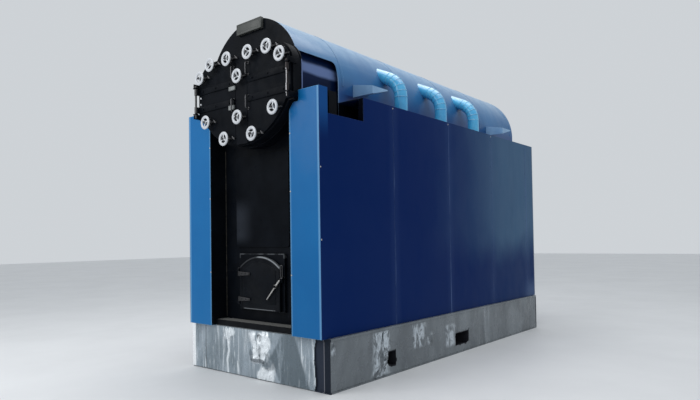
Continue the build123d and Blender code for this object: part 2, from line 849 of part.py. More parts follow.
with BuildPart() as right_clamp_screws:
    with Locations(leaf_wheel_places):
        add(clamp_screw.part)
right_clamp_screws.part.label = "right_clamp_screws"
export_step(right_clamp_screws.part, "parts/right_clamp_screws.step")

with BuildPart() as left_clamp_screws:
    mirror(right_clamp_screws.part, about=Plane.YZ)
left_clamp_screws.part.label = "left_clamp_screws"
export_step(left_clamp_screws.part, "parts/left_clamp_screws.step")

with BuildPart() as centre_clamp_screws:
    with Locations(centre_wheel_places):
        add(clamp_screw.part)
centre_clamp_screws.part.label = "centre_clamp_screws"
export_step(centre_clamp_screws.part, "parts/centre_clamp_screws.step")

# Fire door frame with an arched hole
with BuildPart() as fire_door_frame:
    with BuildSketch(Plane.XZ.offset(-frame_front)):
        with Locations((0, (frame_bottom + frame_top) / 2)):
            Rectangle(2 * frame_half_width, frame_top - frame_bottom)
        with BuildLine():
            ThreePointArc(
                (-hole_half_width, hole_shoulder),
                (0, hole_apex),
                (hole_half_width, hole_shoulder),
            )
            Polyline(
                (hole_half_width, hole_shoulder),
                (hole_half_width, hole_bottom),
                (-hole_half_width, hole_bottom),
                (-hole_half_width, hole_shoulder),
            )
        make_face(mode=Mode.SUBTRACT)
    extrude(amount=-(fire_wall_front - frame_front))
fire_door_frame.part.label = "fire_door_frame"
export_step(fire_door_frame.part, "parts/fire_door_frame.step")

# Lugs on the frame with the door's pins, and the keeper behind the latch tongue
with BuildPart() as fire_door_lugs:
    lug_offset = door_strap_height / 2 + lug_gap + lug_height / 2
    for lug_z in (door_strap_heights[0] + lug_offset, door_strap_heights[1] - lug_offset):
        lug_depth = frame_front - door_pin_y + door_knuckle_radius
        with Locations((door_pin_x, frame_front - lug_depth / 2, lug_z)):
            Box(2 * door_knuckle_radius, lug_depth, lug_height)
    for strap_z, toward in ((door_strap_heights[0], 1), (door_strap_heights[1], -1)):
        door_pin_length = door_strap_height + lug_gap + lug_height
        pin_z = strap_z + toward * (lug_gap + lug_height) / 2
        with Locations((door_pin_x, door_pin_y, pin_z)):
            Cylinder(door_pin_radius, door_pin_length)
    keeper_depth = frame_front - door_front - keeper_set_back
    with Locations(
        (latch_x + tongue_reach, frame_front - keeper_depth / 2, latch_z + tongue_rise)
    ):
        Box(keeper_width, keeper_depth, keeper_height)
fire_door_lugs.part.label = "fire_door_lugs"
export_step(fire_door_lugs.part, "parts/fire_door_lugs.step")

# Fire door leaf: an arched plate with a raised border, and the latch stud
with BuildPart() as fire_door_leaf:
    door_centre = (door_left + door_right) / 2
    with BuildSketch(Plane.XZ.offset(-door_front)) as door_outline:
        with BuildLine():
            ThreePointArc(
                (door_left, door_shoulder),
                (door_centre, door_apex),
                (door_right, door_shoulder),
            )
            Polyline(
                (door_right, door_shoulder),
                (door_right, door_bottom),
                (door_left, door_bottom),
                (door_left, door_shoulder),
            )
        make_face()
    extrude(amount=-door_thickness)
    with BuildSketch(Plane.XZ.offset(-door_front)):
        add(offset(door_outline.sketch_local, amount=-door_border, mode=Mode.PRIVATE))
    extrude(amount=-door_panel_depth, mode=Mode.SUBTRACT)
    head_start = latch_gap + latch_thickness + latch_stud_play
    with BuildSketch(Plane.XZ.offset(-door_front - door_panel_depth)):
        with Locations((latch_x, latch_z)):
            Circle(latch_stud_radius)
    extrude(amount=door_panel_depth + head_start)
    with BuildSketch(Plane.XZ.offset(-door_front + head_start)):
        with Locations((latch_x, latch_z)):
            RegularPolygon(2 * latch_stud_radius, 6)
    extrude(amount=latch_stud_head)
fire_door_leaf.part.label = "fire_door_leaf"
export_step(fire_door_leaf.part, "parts/fire_door_leaf.step")

with BuildPart() as fire_door_straps:
    for strap_z in door_strap_heights:
        strap_end = door_pin_x + door_strap_length
        strap_start = door_left + weld_gap
        strap_y = door_front - door_strap_thickness / 2
        with Locations(((strap_start + strap_end) / 2, strap_y, strap_z)):
            Box(strap_end - strap_start, door_strap_thickness, door_strap_height)
        with BuildSketch(Plane.XY.offset(strap_z - door_strap_height / 2)):
            with Locations((door_pin_x, door_pin_y)):
                RegularPolygon(door_knuckle_radius, knuckle_sides)
        extrude(amount=door_strap_height)
        with Locations(((door_pin_x + strap_start) / 2, strap_y, strap_z)):
            Box(strap_start - door_pin_x, door_strap_thickness, door_strap_height)
        with Locations((door_pin_x, door_pin_y, strap_z)):
            Cylinder(
                door_pin_radius + pin_clearance, 2 * door_strap_height, mode=Mode.SUBTRACT
            )
fire_door_straps.part.label = "fire_door_straps"
export_step(fire_door_straps.part, "parts/fire_door_straps.step")

# Latch: hub, hanging lever and tongue
with BuildPart() as fire_door_latch:
    hub_back = door_front - latch_gap
    with BuildSketch(Plane.XZ.offset(latch_thickness - hub_back)):
        with BuildLine():
            Polyline(
                (latch_x - bar_root, latch_z + bar_root),
                (latch_x - lever_reach - bar_tip, latch_z - lever_drop + bar_tip),
                (latch_x - lever_reach + bar_tip, latch_z - lever_drop - bar_tip),
                (latch_x + bar_root, latch_z - bar_root),
                close=True,
            )
        make_face()
        with BuildLine():
            Polyline(
                (latch_x - bar_root, latch_z + bar_root),
                (latch_x + tongue_reach - bar_root, latch_z + tongue_rise + bar_root),
                (latch_x + tongue_reach + bar_root, latch_z + tongue_rise - bar_root),
                (latch_x + bar_root, latch_z - bar_root),
                close=True,
            )
        make_face()
        with Locations((latch_x, latch_z)):
            Circle(latch_hub_radius)
            Circle(latch_stud_radius + pin_clearance, mode=Mode.SUBTRACT)
    extrude(amount=-latch_thickness)
fire_door_latch.part.label = "fire_door_latch"
export_step(fire_door_latch.part, "parts/fire_door_latch.step")

# Riser pipes in their lagging: from the cladding down to the roof deck in mitred bends
with BuildPart() as riser_pipes:
    corner = Vector(core_inner - pipe_wall_distance, 0, drum_axis + pipe_corner_rise)
    root_reach = cladding_radius - pipe_root_depth
    root_angle = math.radians(pipe_root_angle)
    root_rise = root_reach * math.cos(root_angle)
    root = Vector(root_reach * math.sin(root_angle), 0, drum_axis + root_rise)
    inward = (root - corner).normalized()
    turn = math.radians(inward.get_angle(Vector(0, 0, -1)))
    bend_turn = math.pi - turn
    tangent_length = pipe_bend_radius * math.tan(bend_turn / 2)
    bend_centre_z = corner.Z - tangent_length
    bend_points = []
    for gore in range(pipe_gores):
        angle = bend_turn * (1 - (gore + 0.5) / pipe_gores)
        reach = pipe_bend_radius / math.cos(bend_turn / pipe_gores / 2)
        bend_points.append(
            (
                corner.X - pipe_bend_radius + reach * math.cos(angle),
                bend_centre_z + reach * math.sin(angle),
            )
        )
    for pipe_y in pipe_places:
        with BuildLine() as pipe_path:
            Polyline(
                (root.X, pipe_y, root.Z),
                *[(point[0], pipe_y, point[1]) for point in bend_points],
                (corner.X, pipe_y, wall_top),
            )
        with BuildSketch(Plane((root.X, pipe_y, root.Z), z_dir=corner - root)):
            RegularPolygon(pipe_radius, pipe_sides)
        sweep(path=pipe_path.line, transition=Transition.RIGHT)
    with BuildSketch(Plane.XZ.offset(-drum_front)):
        with Locations((0, drum_axis)):
            Circle(cladding_radius + pipe_end_gap)
    extrude(amount=-(drum_rear - drum_front), mode=Mode.SUBTRACT)
    mirror(about=Plane.YZ)
riser_pipes.part.label = "riser_pipes"
export_step(riser_pipes.part, "parts/riser_pipes.step")

# Brackets on the cladding skirts: sloped tops over undersides that rise towards the rear
with BuildPart() as drum_brackets:
    bracket_end = core_inner + bracket_lap
    bracket_bottom = wall_top + bracket_foot
    bracket_outer_top = wall_top + bracket_outer_rise
    for bracket_y in bracket_places:
        with BuildSketch(Plane.XZ.offset(-bracket_y)):
            with BuildLine():
                Polyline(
                    (cladding_radius, bracket_bottom),
                    (bracket_end, bracket_bottom),
                    (bracket_end, bracket_outer_top),
                    (cladding_radius, wall_top + bracket_inner_rise),
                    close=True,
                )
            make_face()
        extrude(amount=-bracket_length)
        with BuildSketch(Plane.YZ.offset(cladding_radius - weld_gap)):
            with BuildLine():
                lip_y = bracket_y + bracket_lip
                tip_y = bracket_y + bracket_length + weld_gap
                Polyline(
                    (lip_y, bracket_bottom),
                    (tip_y, bracket_outer_top - bracket_lip),
                    (tip_y, bracket_bottom - weld_gap),
                    (lip_y, bracket_bottom - weld_gap),
                    close=True,
                )
            make_face()
        extrude(amount=2 * (bracket_end - cladding_radius), mode=Mode.SUBTRACT)
    mirror(about=Plane.YZ)
drum_brackets.part.label = "drum_brackets"
export_step(drum_brackets.part, "parts/drum_brackets.step")

# Furnace: side linings, bridge wall and grate
with BuildPart() as furnace_lining:
    lining_length = deck_rear - fire_wall_back
    lining_x = lining_half_gap + lining_thickness / 2
    lining_y = (fire_wall_back + deck_rear) / 2
    lining_z = (base_height + lining_top) / 2
    with Locations((lining_x, lining_y, lining_z), (-lining_x, lining_y, lining_z)):
        Box(lining_thickness, lining_length, lining_top - base_height)
    bridge_y = fire_wall_back + grate_length + 2 * grate_gap + bridge_wall_thickness / 2
    with Locations((0, bridge_y, (base_height + bridge_wall_top) / 2)):
        Box(
            2 * lining_half_gap - 2 * weld_gap,
            bridge_wall_thickness,
            bridge_wall_top - base_height,
        )
furnace_lining.part.label = "furnace_lining"
export_step(furnace_lining.part, "parts/furnace_lining.step")

with BuildPart() as grate:
    bar_y = fire_wall_back + grate_gap + grate_length / 2
    for bar_index in range(-grate_half_count, grate_half_count + 1):
        with Locations((bar_index * grate_pitch, bar_y, grate_top - grate_bar_height / 2)):
            Box(grate_bar_width, grate_length, grate_bar_height)
    bearer_height = grate_top - grate_bar_height - base_height
    for bearer_share in grate_bearer_shares:
        bearer_y = fire_wall_back + grate_gap + bearer_share * grate_length
        with Locations((0, bearer_y, base_height + bearer_height / 2)):
            Box(2 * lining_half_gap - 2 * weld_gap, grate_bar_width, bearer_height)
grate.part.label = "grate"
export_step(grate.part, "parts/grate.step")
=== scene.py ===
"""Looks of the packaged steam boiler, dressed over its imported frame.

Lengths are in metres. X is to the right, Y to the rear and Z up; the fire door faces -Y.
"""

import logging
import math
from contextlib import contextmanager
from dataclasses import dataclass
from enum import Enum
from typing import Callable, Iterator, Sequence, Union

import bmesh
import bpy
from mathutils import Matrix, Vector, noise


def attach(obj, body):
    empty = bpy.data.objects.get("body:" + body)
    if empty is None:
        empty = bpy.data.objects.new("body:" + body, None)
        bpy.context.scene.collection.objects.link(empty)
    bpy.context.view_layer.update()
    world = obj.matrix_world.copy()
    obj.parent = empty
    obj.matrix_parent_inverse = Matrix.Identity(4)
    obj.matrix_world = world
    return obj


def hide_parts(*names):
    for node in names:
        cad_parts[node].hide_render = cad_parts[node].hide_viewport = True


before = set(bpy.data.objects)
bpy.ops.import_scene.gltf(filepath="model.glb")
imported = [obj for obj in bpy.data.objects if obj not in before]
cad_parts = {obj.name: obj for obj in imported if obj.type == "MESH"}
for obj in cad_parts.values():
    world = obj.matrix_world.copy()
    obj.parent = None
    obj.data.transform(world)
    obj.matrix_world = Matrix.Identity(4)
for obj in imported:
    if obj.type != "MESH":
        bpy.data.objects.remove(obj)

LOG = logging.getLogger("boiler")
Piece = bpy.types.Object
Socket = bpy.types.NodeSocket
Colour = tuple[float, float, float]
Point = tuple[float, float, float]
FRONT = -2.65
LEAF_FACE = FRONT - 0.075
HINGE = (0.77, FRONT - 0.12)
SEAMS = (-1.4, -0.15, 1.1, 2.35)
X, Y, Z = range(3)
HALF_TURN = Matrix.Rotation(math.pi, 4, "Z")


def tone(red: int, green: int, blue: int) -> Colour:
    """Turns a colour as seen on screen, in steps of 0 to 255, into the shaders' linear one."""
    shares = (red / 255, green / 255, blue / 255)
    return tuple(s / 12.92 if s <= 0.04045 else ((s + 0.055) / 1.055) ** 2.4 for s in shares)


class Body(Enum):
    """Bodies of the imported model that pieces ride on."""

    BOILER = "boiler"
    LEFT_LEAF = "left_smoke_door"
    RIGHT_LEAF = "right_smoke_door"
    FIRE_DOOR = "fire_door"
    LATCH = "fire_door_latch"


class Start(Enum):
    """Primitives that pieces start from."""

    BLOCK = "primitive_cube_add"
    ROD = "primitive_cylinder_add"
    LOOP = "primitive_circle_add"
    TORUS = "primitive_torus_add"
    DOME = "primitive_uv_sphere_add"
    GRID = "primitive_grid_add"


class Pick(Enum):
    """Kinds of mesh elements that are picked in edit mode."""

    CORNERS = "VERT"
    EDGES = "EDGE"
    FACES = "FACE"


# Modelling steps shared by the pieces, each an operator as used by hand


def select_only(piece: Piece) -> None:
    """Selects one piece alone and makes it the active one.

    Args:
        piece: The piece.
    """
    bpy.ops.object.select_all(action="DESELECT")
    piece.select_set(True)
    bpy.context.view_layer.objects.active = piece


def add(kind: Start, name: str, **options: object) -> Piece:
    """Adds a primitive at its size and place and settles it at the origin.

    Args:
        kind: The primitive to start from.
        name: Name of the new piece.
        **options: The operator's own options.

    Returns:
        The new piece.
    """
    bpy.ops.object.select_all(action="DESELECT")
    getattr(bpy.ops.mesh, kind.value)(**options)
    piece = bpy.context.active_object
    piece.name = name
    bpy.ops.object.transform_apply(location=True, rotation=True, scale=True)
    return piece


def block(name: str, corner: Point, opposite: Point) -> Piece:
    """Adds a block between two corners.

    Args:
        name: Its name.
        corner: One corner.
        opposite: The corner across from it.

    Returns:
        The block.
    """
    size = [abs(b - a) for a, b in zip(corner, opposite)]
    middle = [(a + b) / 2 for a, b in zip(corner, opposite)]
    return add(Start.BLOCK, name, size=1, location=middle, scale=size)


def turn_along(run: Vector) -> dict[str, object]:
    """Gives the option that turns a primitive's Z axis along a run."""
    return {"rotation": run.to_track_quat("Z", "Y").to_euler()}


def rod(name: str, radius: float, tail: Point, head: Point, sides: int = 24) -> Piece:
    """Adds a round or many-sided rod between two points.

    Args:
        name: Name of the rod.
        radius: Its radius.
        tail: Middle of one end.
        head: Middle of the other end.
        sides: How many sides it has.

    Returns:
        The rod.
    """
    run = Vector(head) - Vector(tail)
    middle = (Vector(head) + Vector(tail)) / 2
    return add(
        Start.ROD, name, radius=radius, depth=run.length, vertices=sides,
        location=middle, **turn_along(run),
    )


def post(name: str, radius: float, spot: tuple[float, float], low: float, high: float,
         sides: int = 28) -> Piece:
    """Adds an upright rod at a spot in X and Y, between two heights."""
    return rod(name, radius, (*spot, low), (*spot, high), sides)


def ring(name: str, radius: float, thin: float, middle: Point, along: Point,
         steps: int = 40, sides: int = 8) -> Piece:
    """Adds a round ring about an axis.

    Args:
        name: Name of the ring.
        radius: Radius to the middle of its section.
        thin: Radius of its section.
        middle: Its middle.
        along: Its axis.
        steps: Steps round the ring.
        sides: Sides of its section.

    Returns:
        The ring.
    """
    return add(
        Start.TORUS, name, major_radius=radius, minor_radius=thin, major_segments=steps,
        minor_segments=sides, location=middle, **turn_along(Vector(along)),
    )


@contextmanager
def editing(piece: Piece, mode: Pick = Pick.FACES) -> Iterator[None]:
    """Opens a piece in edit mode with nothing selected, and closes it again.

    Args:
        piece: The piece.
        mode: What is picked in it.
    """
    select_only(piece)
    bpy.ops.object.mode_set(mode="EDIT")
    bpy.ops.mesh.select_mode(type=mode.value)
    bpy.ops.mesh.select_all(action="DESELECT")
    yield
    bpy.ops.object.mode_set(mode="OBJECT")


def pick(piece: Piece, test: Callable[[Vector, Vector], bool],
         kind: Pick = Pick.FACES) -> None:
    """Selects what passes a test of its place and direction, in edit mode.

    Args:
        piece: The piece that is open in edit mode.
        test: Takes the place, and the normal or, for an edge, its direction.
        kind: What is picked.
    """
    mesh = bmesh.from_edit_mesh(piece.data)
    if kind is Pick.FACES:
        found = [(face, face.calc_center_median(), face.normal) for face in mesh.faces]
    elif kind is Pick.CORNERS:
        found = [(corner, corner.co, corner.normal) for corner in mesh.verts]
    else:
        ends = [(edge, *[corner.co for corner in edge.verts]) for edge in mesh.edges]
        found = [(edge, (a + b) / 2, (b - a).normalized()) for edge, a, b in ends]
    for element, place, way in found:
        if test(place, way):
            element.select_set(True)
    mesh.select_flush_mode()
    bmesh.update_edit_mesh(piece.data)


def pick_ends(piece: Piece, axis: int, way: int = 0) -> None:
    """Selects the faces that look along an axis: 1 up it, -1 down it, 0 both ways.

    Args:
        piece: The piece that is open in edit mode.
        axis: The axis.
        way: 1 for faces that look up it, -1 for down it, 0 for both.
    """
    pick(
        piece,
        lambda place, normal: (normal[axis] * way if way else abs(normal[axis])) > 0.9,
    )


def flatten(piece: Piece, scale: Point) -> Piece:
    """Scales a whole piece about its middle and gives it back.

    Args:
        piece: The piece.
        scale: Its scale along each axis.

    Returns:
        The same piece.
    """
    with editing(piece):
        bpy.ops.mesh.select_all(action="SELECT")
        bpy.ops.transform.resize(value=scale)
    return piece


def divide(piece: Piece, axis: int, cuts: int) -> None:
    """Cuts the edges that run along an axis.

    Args:
        piece: The piece.
        axis: The axis.
        cuts: How often each edge is cut.
    """
    with editing(piece, Pick.EDGES):
        pick(piece, lambda place, way: abs(way[axis]) > 0.9, Pick.EDGES)
        bpy.ops.mesh.subdivide(number_cuts=cuts)


def extrude(run: Point) -> None:
    """Draws what is selected out along a run, in edit mode."""
    bpy.ops.mesh.extrude_region_move(TRANSFORM_OT_translate={"value": run})


def taper(piece: Piece, scale: Point) -> None:
    """Narrows the end of a piece that looks along +X.

    Args:
        piece: The piece.
        scale: The end's scale along each axis.
    """
    with editing(piece):
        pick_ends(piece, X, 1)
        bpy.ops.transform.resize(value=scale)


def bore(piece: Piece, axis: int, wall: float) -> Piece:
    """Bores a piece through along an axis, which leaves a wall round the hole.

    Args:
        piece: The piece.
        axis: The axis.
        wall: How thick the wall is.

    Returns:
        The same piece.
    """
    with editing(piece):
        pick_ends(piece, axis)
        bpy.ops.mesh.inset(thickness=wall, depth=0)
        bpy.ops.mesh.bridge_edge_loops()
    return piece


def step_in(piece: Piece, steps: Sequence[tuple[float, float]]) -> None:
    """Insets the front of a piece, each step by a thickness and a depth.

    Args:
        piece: The piece.
        steps: Thickness and depth of each inset.
    """
    with editing(piece):
        pick_ends(piece, Y, -1)
        for thickness, depth in steps:
            bpy.ops.mesh.inset(thickness=thickness, depth=depth)


def apply(piece: Piece, kind: str, **settings: object) -> None:
    """Adds a modifier with its settings and applies it.

    Args:
        piece: The piece.
        kind: Kind of the modifier.
        **settings: The modifier's own settings.
    """
    select_only(piece)
    modifier = piece.modifiers.new(kind.lower(), kind)
    for key, value in settings.items():
        setattr(modifier, key, value)
    bpy.ops.object.modifier_apply(modifier=modifier.name)


def soften(piece: Piece, width: float, steps: int = 2, angle: float = 40) -> Piece:
    """Rounds a piece's sharp edges and gives it back.

    Args:
        piece: The piece.
        width: Width of the rounding.
        steps: Steps in it.
        angle: Edges are sharp from this angle on.

    Returns:
        The same piece.
    """
    limit = {"limit_method": "ANGLE", "angle_limit": math.radians(angle)}
    apply(piece, "BEVEL", width=width, segments=steps, **limit)
    return piece


def bolt(radius: float, seat: Point, height: float, edge: float = 0.0015,
         steps: int = 1) -> Piece:
    """Adds a hexagon head that stands forwards from its seat, with rounded edges."""
    head = rod("bolt", radius, seat, (seat[0], seat[1] - height, seat[2]), 6)
    return soften(head, edge, steps, 20)


def crease(piece: Piece, name: str, kind: str, scale: float, ripple: float,
           group: str = "", depth: int = 3) -> None:
    """Pushes a piece in and out along its faces by a pattern.

    Args:
        piece: The piece.
        name: Name of the pattern.
        kind: Kind of the pattern.
        scale: Size of its cells.
        ripple: How far it moves the faces.
        group: Corner group that it acts on, or all.
        depth: How many finer layers a cloudy pattern has.
    """
    pattern = bpy.data.textures.new(name, kind)
    pattern.noise_scale = scale
    if kind == "CLOUDS":
        pattern.noise_depth = depth
    apply(
        piece, "DISPLACE", texture=pattern, texture_coords="LOCAL", strength=ripple,
        mid_level=0.5, vertex_group=group,
    )


def bisect(piece: Piece, at: Point, normal: Point) -> None:
    """Cuts away what lies beyond a plane and closes the cut.

    Args:
        piece: The piece.
        at: A point of the plane.
        normal: The way that is cut off.
    """
    with editing(piece):
        bpy.ops.mesh.select_all(action="SELECT")
        bpy.ops.mesh.bisect(plane_co=at, plane_no=normal, use_fill=True, clear_outer=True)


def join(name: str, pieces: Sequence[Piece]) -> Piece:
    """Joins pieces into one mesh.

    Args:
        name: Name of the whole.
        pieces: What it is joined from.

    Returns:
        The whole.
    """
    select_only(pieces[0])
    for piece in pieces:
        piece.select_set(True)
    if len(pieces) > 1:
        bpy.ops.object.join()
    pieces[0].name = name
    return pieces[0]


def copies(source: Piece, places: Sequence[Matrix]) -> list[Piece]:
    """Copies a piece to each place with its own mesh.

    Args:
        source: The piece that is modelled once; it is used up.
        places: Where each copy goes.

    Returns:
        The copies.
    """
    made = []
    for place in places:
        copy = source.copy()
        copy.data = source.data.copy()
        copy.data.transform(place)
        bpy.context.scene.collection.objects.link(copy)
        made.append(copy)
    bpy.data.objects.remove(source)
    return made


def turn_about_y(angle: float) -> Matrix:
    """Gives a turn about the Y axis by an angle in degrees."""
    return Matrix.Rotation(math.radians(angle), 4, "Y")


def bent_rod(name: str, radius: float, path: Sequence[Point], bend: float,
             steps: int, sides: int) -> Piece:
    """Runs a round section along straight legs, spun round each corner.

    Args:
        name: Name of the piece.
        radius: Radius of the section.
        path: Corners of the path.
        bend: Radius of every bend, at the section's middle.
        steps: Steps in each bend.
        sides: Sides of the section.

    Returns:
        The closed rod.
    """
    corners = [Vector(corner) for corner in path]
    legs = [after - before for before, after in zip(corners, corners[1:])]
    piece = add(
        Start.LOOP, name, radius=radius, vertices=sides, location=corners[0],
        **turn_along(legs[0]),
    )
    with editing(piece, Pick.EDGES):
        bpy.ops.mesh.select_all(action="SELECT")
        cut_back = 0.0
        for leg, onward, corner in zip(legs, [*legs[1:], None], corners[1:]):
            turn = leg.angle(onward) if onward else 0.0
            ahead = bend * math.tan(turn / 2)
            run = leg.normalized() * (leg.length - cut_back - ahead)
            extrude(run)
            if onward:
                axis = leg.cross(onward).normalized()
                side = axis.cross(leg).normalized()
                centre = corner - leg.normalized() * ahead + side * bend
                bpy.ops.mesh.spin(steps=steps, angle=-turn, center=centre, axis=axis)
            cut_back = ahead
        for step, options in (
            (bpy.ops.mesh.remove_doubles, {"threshold": 0.0002}),
            (bpy.ops.mesh.fill_holes, {"sides": 0}),
            (bpy.ops.mesh.normals_make_consistent, {"inside": False}),
        ):
            bpy.ops.mesh.select_all(action="SELECT")
            step(**options)
    return piece


class Pattern:
    """A number that varies over a surface; its arithmetic is laid down as nodes."""

    def __init__(self, sheet: "NodeSheet", socket: Socket) -> None:
        """Holds the socket that gives the number."""
        self.sheet = sheet
        self.socket = socket

    def reckon(self, way: str, other: "Value" = 0.0) -> "Pattern":
        """Works out one number from this one and another.

        Args:
            way: Kind of the sum.
            other: The other number.

        Returns:
            The result.
        """
        made = self.sheet.node("ShaderNodeMath", operation=way)
        self.sheet.feed(made.inputs[0], self)
        self.sheet.feed(made.inputs[1], other)
        return Pattern(self.sheet, made.outputs[0])

    def __add__(self, other: "Value") -> "Pattern":
        """Adds a number."""
        return self.reckon("ADD", other)

    def __sub__(self, other: "Value") -> "Pattern":
        """Takes a number away."""
        return self.reckon("SUBTRACT", other)

    def __mul__(self, other: "Value") -> "Pattern":
        """Multiplies by a number, which narrows one share by another."""
        return self.reckon("MULTIPLY", other)

    def __abs__(self) -> "Pattern":
        """Drops the sign."""
        return self.reckon("ABSOLUTE")

    def off(self, place: "Value") -> "Pattern":
        """Gives the distance from a place."""
        return abs(self - place)

    def either(self, other: "Pattern") -> "Pattern":
        """Gives the larger of two shares."""
        return self.reckon("MAXIMUM", other)

    def ramp(self, low: float, high: float, start: float = 0, end: float = 1) -> "Pattern":
        """Maps the number smoothly from one range to another.

        Args:
            low: Where the ramp starts; it may lie above its end.
            high: Where the ramp ends.
            start: What it gives before its start.
            end: What it gives past its end.

        Returns:
            The mapped number.
        """
        made = self.sheet.node("ShaderNodeMapRange", interpolation_type="SMOOTHSTEP")
        self.sheet.feed(made.inputs["Value"], self)
        for key, value in zip(("From Min", "From Max", "To Min", "To Max"), (low, high, start, end)):
            made.inputs[key].default_value = value
        return Pattern(self.sheet, made.outputs[0])


Value = Union[Pattern, Socket, float, tuple]


class NodeSheet:
    """One material's nodes, laid down step by step, with its coats of colour."""

    def __init__(self, name: str) -> None:
        """Starts an empty sheet with a shader and the piece's own coordinates.

        Args:
            name: Name of the material.
        """
        self.material = bpy.data.materials.new(name)
        self.material.use_nodes = True
        self.tree = self.material.node_tree
        self.tree.nodes.clear()
        self.shader = self.node("ShaderNodeBsdfPrincipled")
        output = self.node("ShaderNodeOutputMaterial")
        self.feed(output.inputs["Surface"], self.shader.outputs["BSDF"])
        self.place = self.node("ShaderNodeTexCoord").outputs["Object"]
        self.x, self.y, self.z = self.split(self.place)
        self.colour: Value = (0.0, 0.0, 0.0)

    def node(self, kind: str, **settings: object) -> bpy.types.Node:
        """Adds a node with its settings.

        Args:
            kind: Kind of the node.
            **settings: The node's own settings.

        Returns:
            The node.
        """
        made = self.tree.nodes.new(kind)
        for key, value in settings.items():
            setattr(made, key, value)
        return made

    def feed(self, target: Socket, value: Value) -> None:
        """Gives a socket a value, or joins it to the one that makes it.

        Args:
            target: The socket.
            value: What it gets.
        """
        source = value.socket if isinstance(value, Pattern) else value
        if isinstance(source, Socket):
            self.tree.links.new(source, target)
        else:
            target.default_value = (*source, 1) if isinstance(source, tuple) else source

    def split(self, source: Socket) -> list[Pattern]:
        """Splits a vector into its three numbers.

        Args:
            source: The vector.

        Returns:
            Its X, Y and Z.
        """
        made = self.node("ShaderNodeSeparateXYZ")
        self.feed(made.inputs[0], source)
        return [Pattern(self, output) for output in made.outputs]

    def mapped(self, kind: str, scale: Point, shift: Point = (0, 0, 0),
               **settings: object) -> bpy.types.Node:
        """Adds a node that works on the piece's coordinates, stretched and shifted.

        Args:
            kind: Kind of the node.
            scale: Stretch along each axis.
            shift: Shift along each axis, after the stretch.
            **settings: The node's own settings.

        Returns:
            The node.
        """
        mapping = self.node("ShaderNodeMapping")
        mapping.inputs["Scale"].default_value = scale
        mapping.inputs["Location"].default_value = shift
        self.feed(mapping.inputs["Vector"], self.place)
        made = self.node(kind, **settings)
        self.feed(made.inputs[0], mapping.outputs["Vector"])
        return made

    def noise(self, scale: float, detail: float = 3, rough: float = 0.55,
              stretch: Point = (1, 1, 1), warp: float = 0) -> Pattern:
        """Gives a soft random pattern from 0 to 1.

        Args:
            scale: How many patches there are to a metre.
            detail: How fine its finest layer is.
            rough: How strong the finer layers are.
            stretch: Below 1, the patches grow longer along an axis.
            warp: How far the patches are twisted.

        Returns:
            The pattern.
        """
        made = self.mapped("ShaderNodeTexNoise", stretch)
        settings = {"Scale": scale, "Detail": detail, "Roughness": rough, "Distortion": warp}
        for key, value in settings.items():
            made.inputs[key].default_value = value
        return Pattern(self, made.outputs["Fac"])

    def cracks(self, scale: float, stretch: Point) -> Pattern:
        """Gives the distance from the edges of random cells.

        Args:
            scale: How many cells there are to a metre.
            stretch: Below 1, the cells grow longer along an axis.

        Returns:
            The distance.
        """
        made = self.mapped("ShaderNodeTexVoronoi", stretch, feature="DISTANCE_TO_EDGE")
        made.inputs["Scale"].default_value = scale
        return Pattern(self, made.outputs["Distance"])

    def blend(self, share: Value, first: Value, second: Value) -> Socket:
        """Blends two colours.

        Args:
            share: How much of the second shows.
            first: The first colour.
            second: The second colour.

        Returns:
            The blend.
        """
        made = self.node("ShaderNodeMix", data_type="RGBA")
        for index, value in ((0, share), (6, first), (7, second)):
            self.feed(made.inputs[index], value)
        return made.outputs[2]

    def paint(self, colour: Value, share: Value = 1.0) -> None:
        """Lays a coat of colour over what is there, or over a share of it."""
        self.colour = self.blend(share, self.colour, colour)

    def bump(self, height: Value, depth: float, under: Socket | None = None) -> Socket:
        """Turns a height pattern into a surface relief.

        Args:
            height: The pattern.
            depth: How deep the relief is.
            under: A relief that lies under this one.

        Returns:
            The surface direction.
        """
        made = self.node("ShaderNodeBump")
        made.inputs["Strength"].default_value = 1.0
        made.inputs["Distance"].default_value = depth
        self.feed(made.inputs["Height"], height)
        if under is not None:
            self.feed(made.inputs["Normal"], under)
        return made.outputs["Normal"]

    def rounded(self, radius: float) -> Socket:
        """Gives the surface direction with its edges rounded.

        Args:
            radius: Radius of the rounding.

        Returns:
            The direction.
        """
        made = self.node("ShaderNodeBevel", samples=6)
        made.inputs["Radius"].default_value = radius
        return made.outputs["Normal"]

    def direction(self) -> Socket:
        """Gives the direction that the surface looks in."""
        return self.node("ShaderNodeNewGeometry").outputs["Normal"]

    def edges(self, radius: float) -> Pattern:
        """Gives 1 along sharp edges and 0 on flat faces.

        Args:
            radius: How far from an edge it reaches.

        Returns:
            The pattern.
        """
        dot = self.node("ShaderNodeVectorMath", operation="DOT_PRODUCT")
        self.feed(dot.inputs[0], self.rounded(radius))
        self.feed(dot.inputs[1], self.direction())
        return Pattern(self, dot.outputs["Value"]).ramp(0.995, 0.86)

    def upward(self, low: float = 0.55) -> Pattern:
        """Gives 1 on faces that look up, where dust settles and where sheen is painted."""
        return self.split(self.direction())[Z].ramp(low, 0.98)

    def facing(self, axis: int) -> Pattern:
        """Gives 1 on faces that look along an axis, either way."""
        return abs(self.split(self.direction())[axis]).ramp(0.5, 0.9)

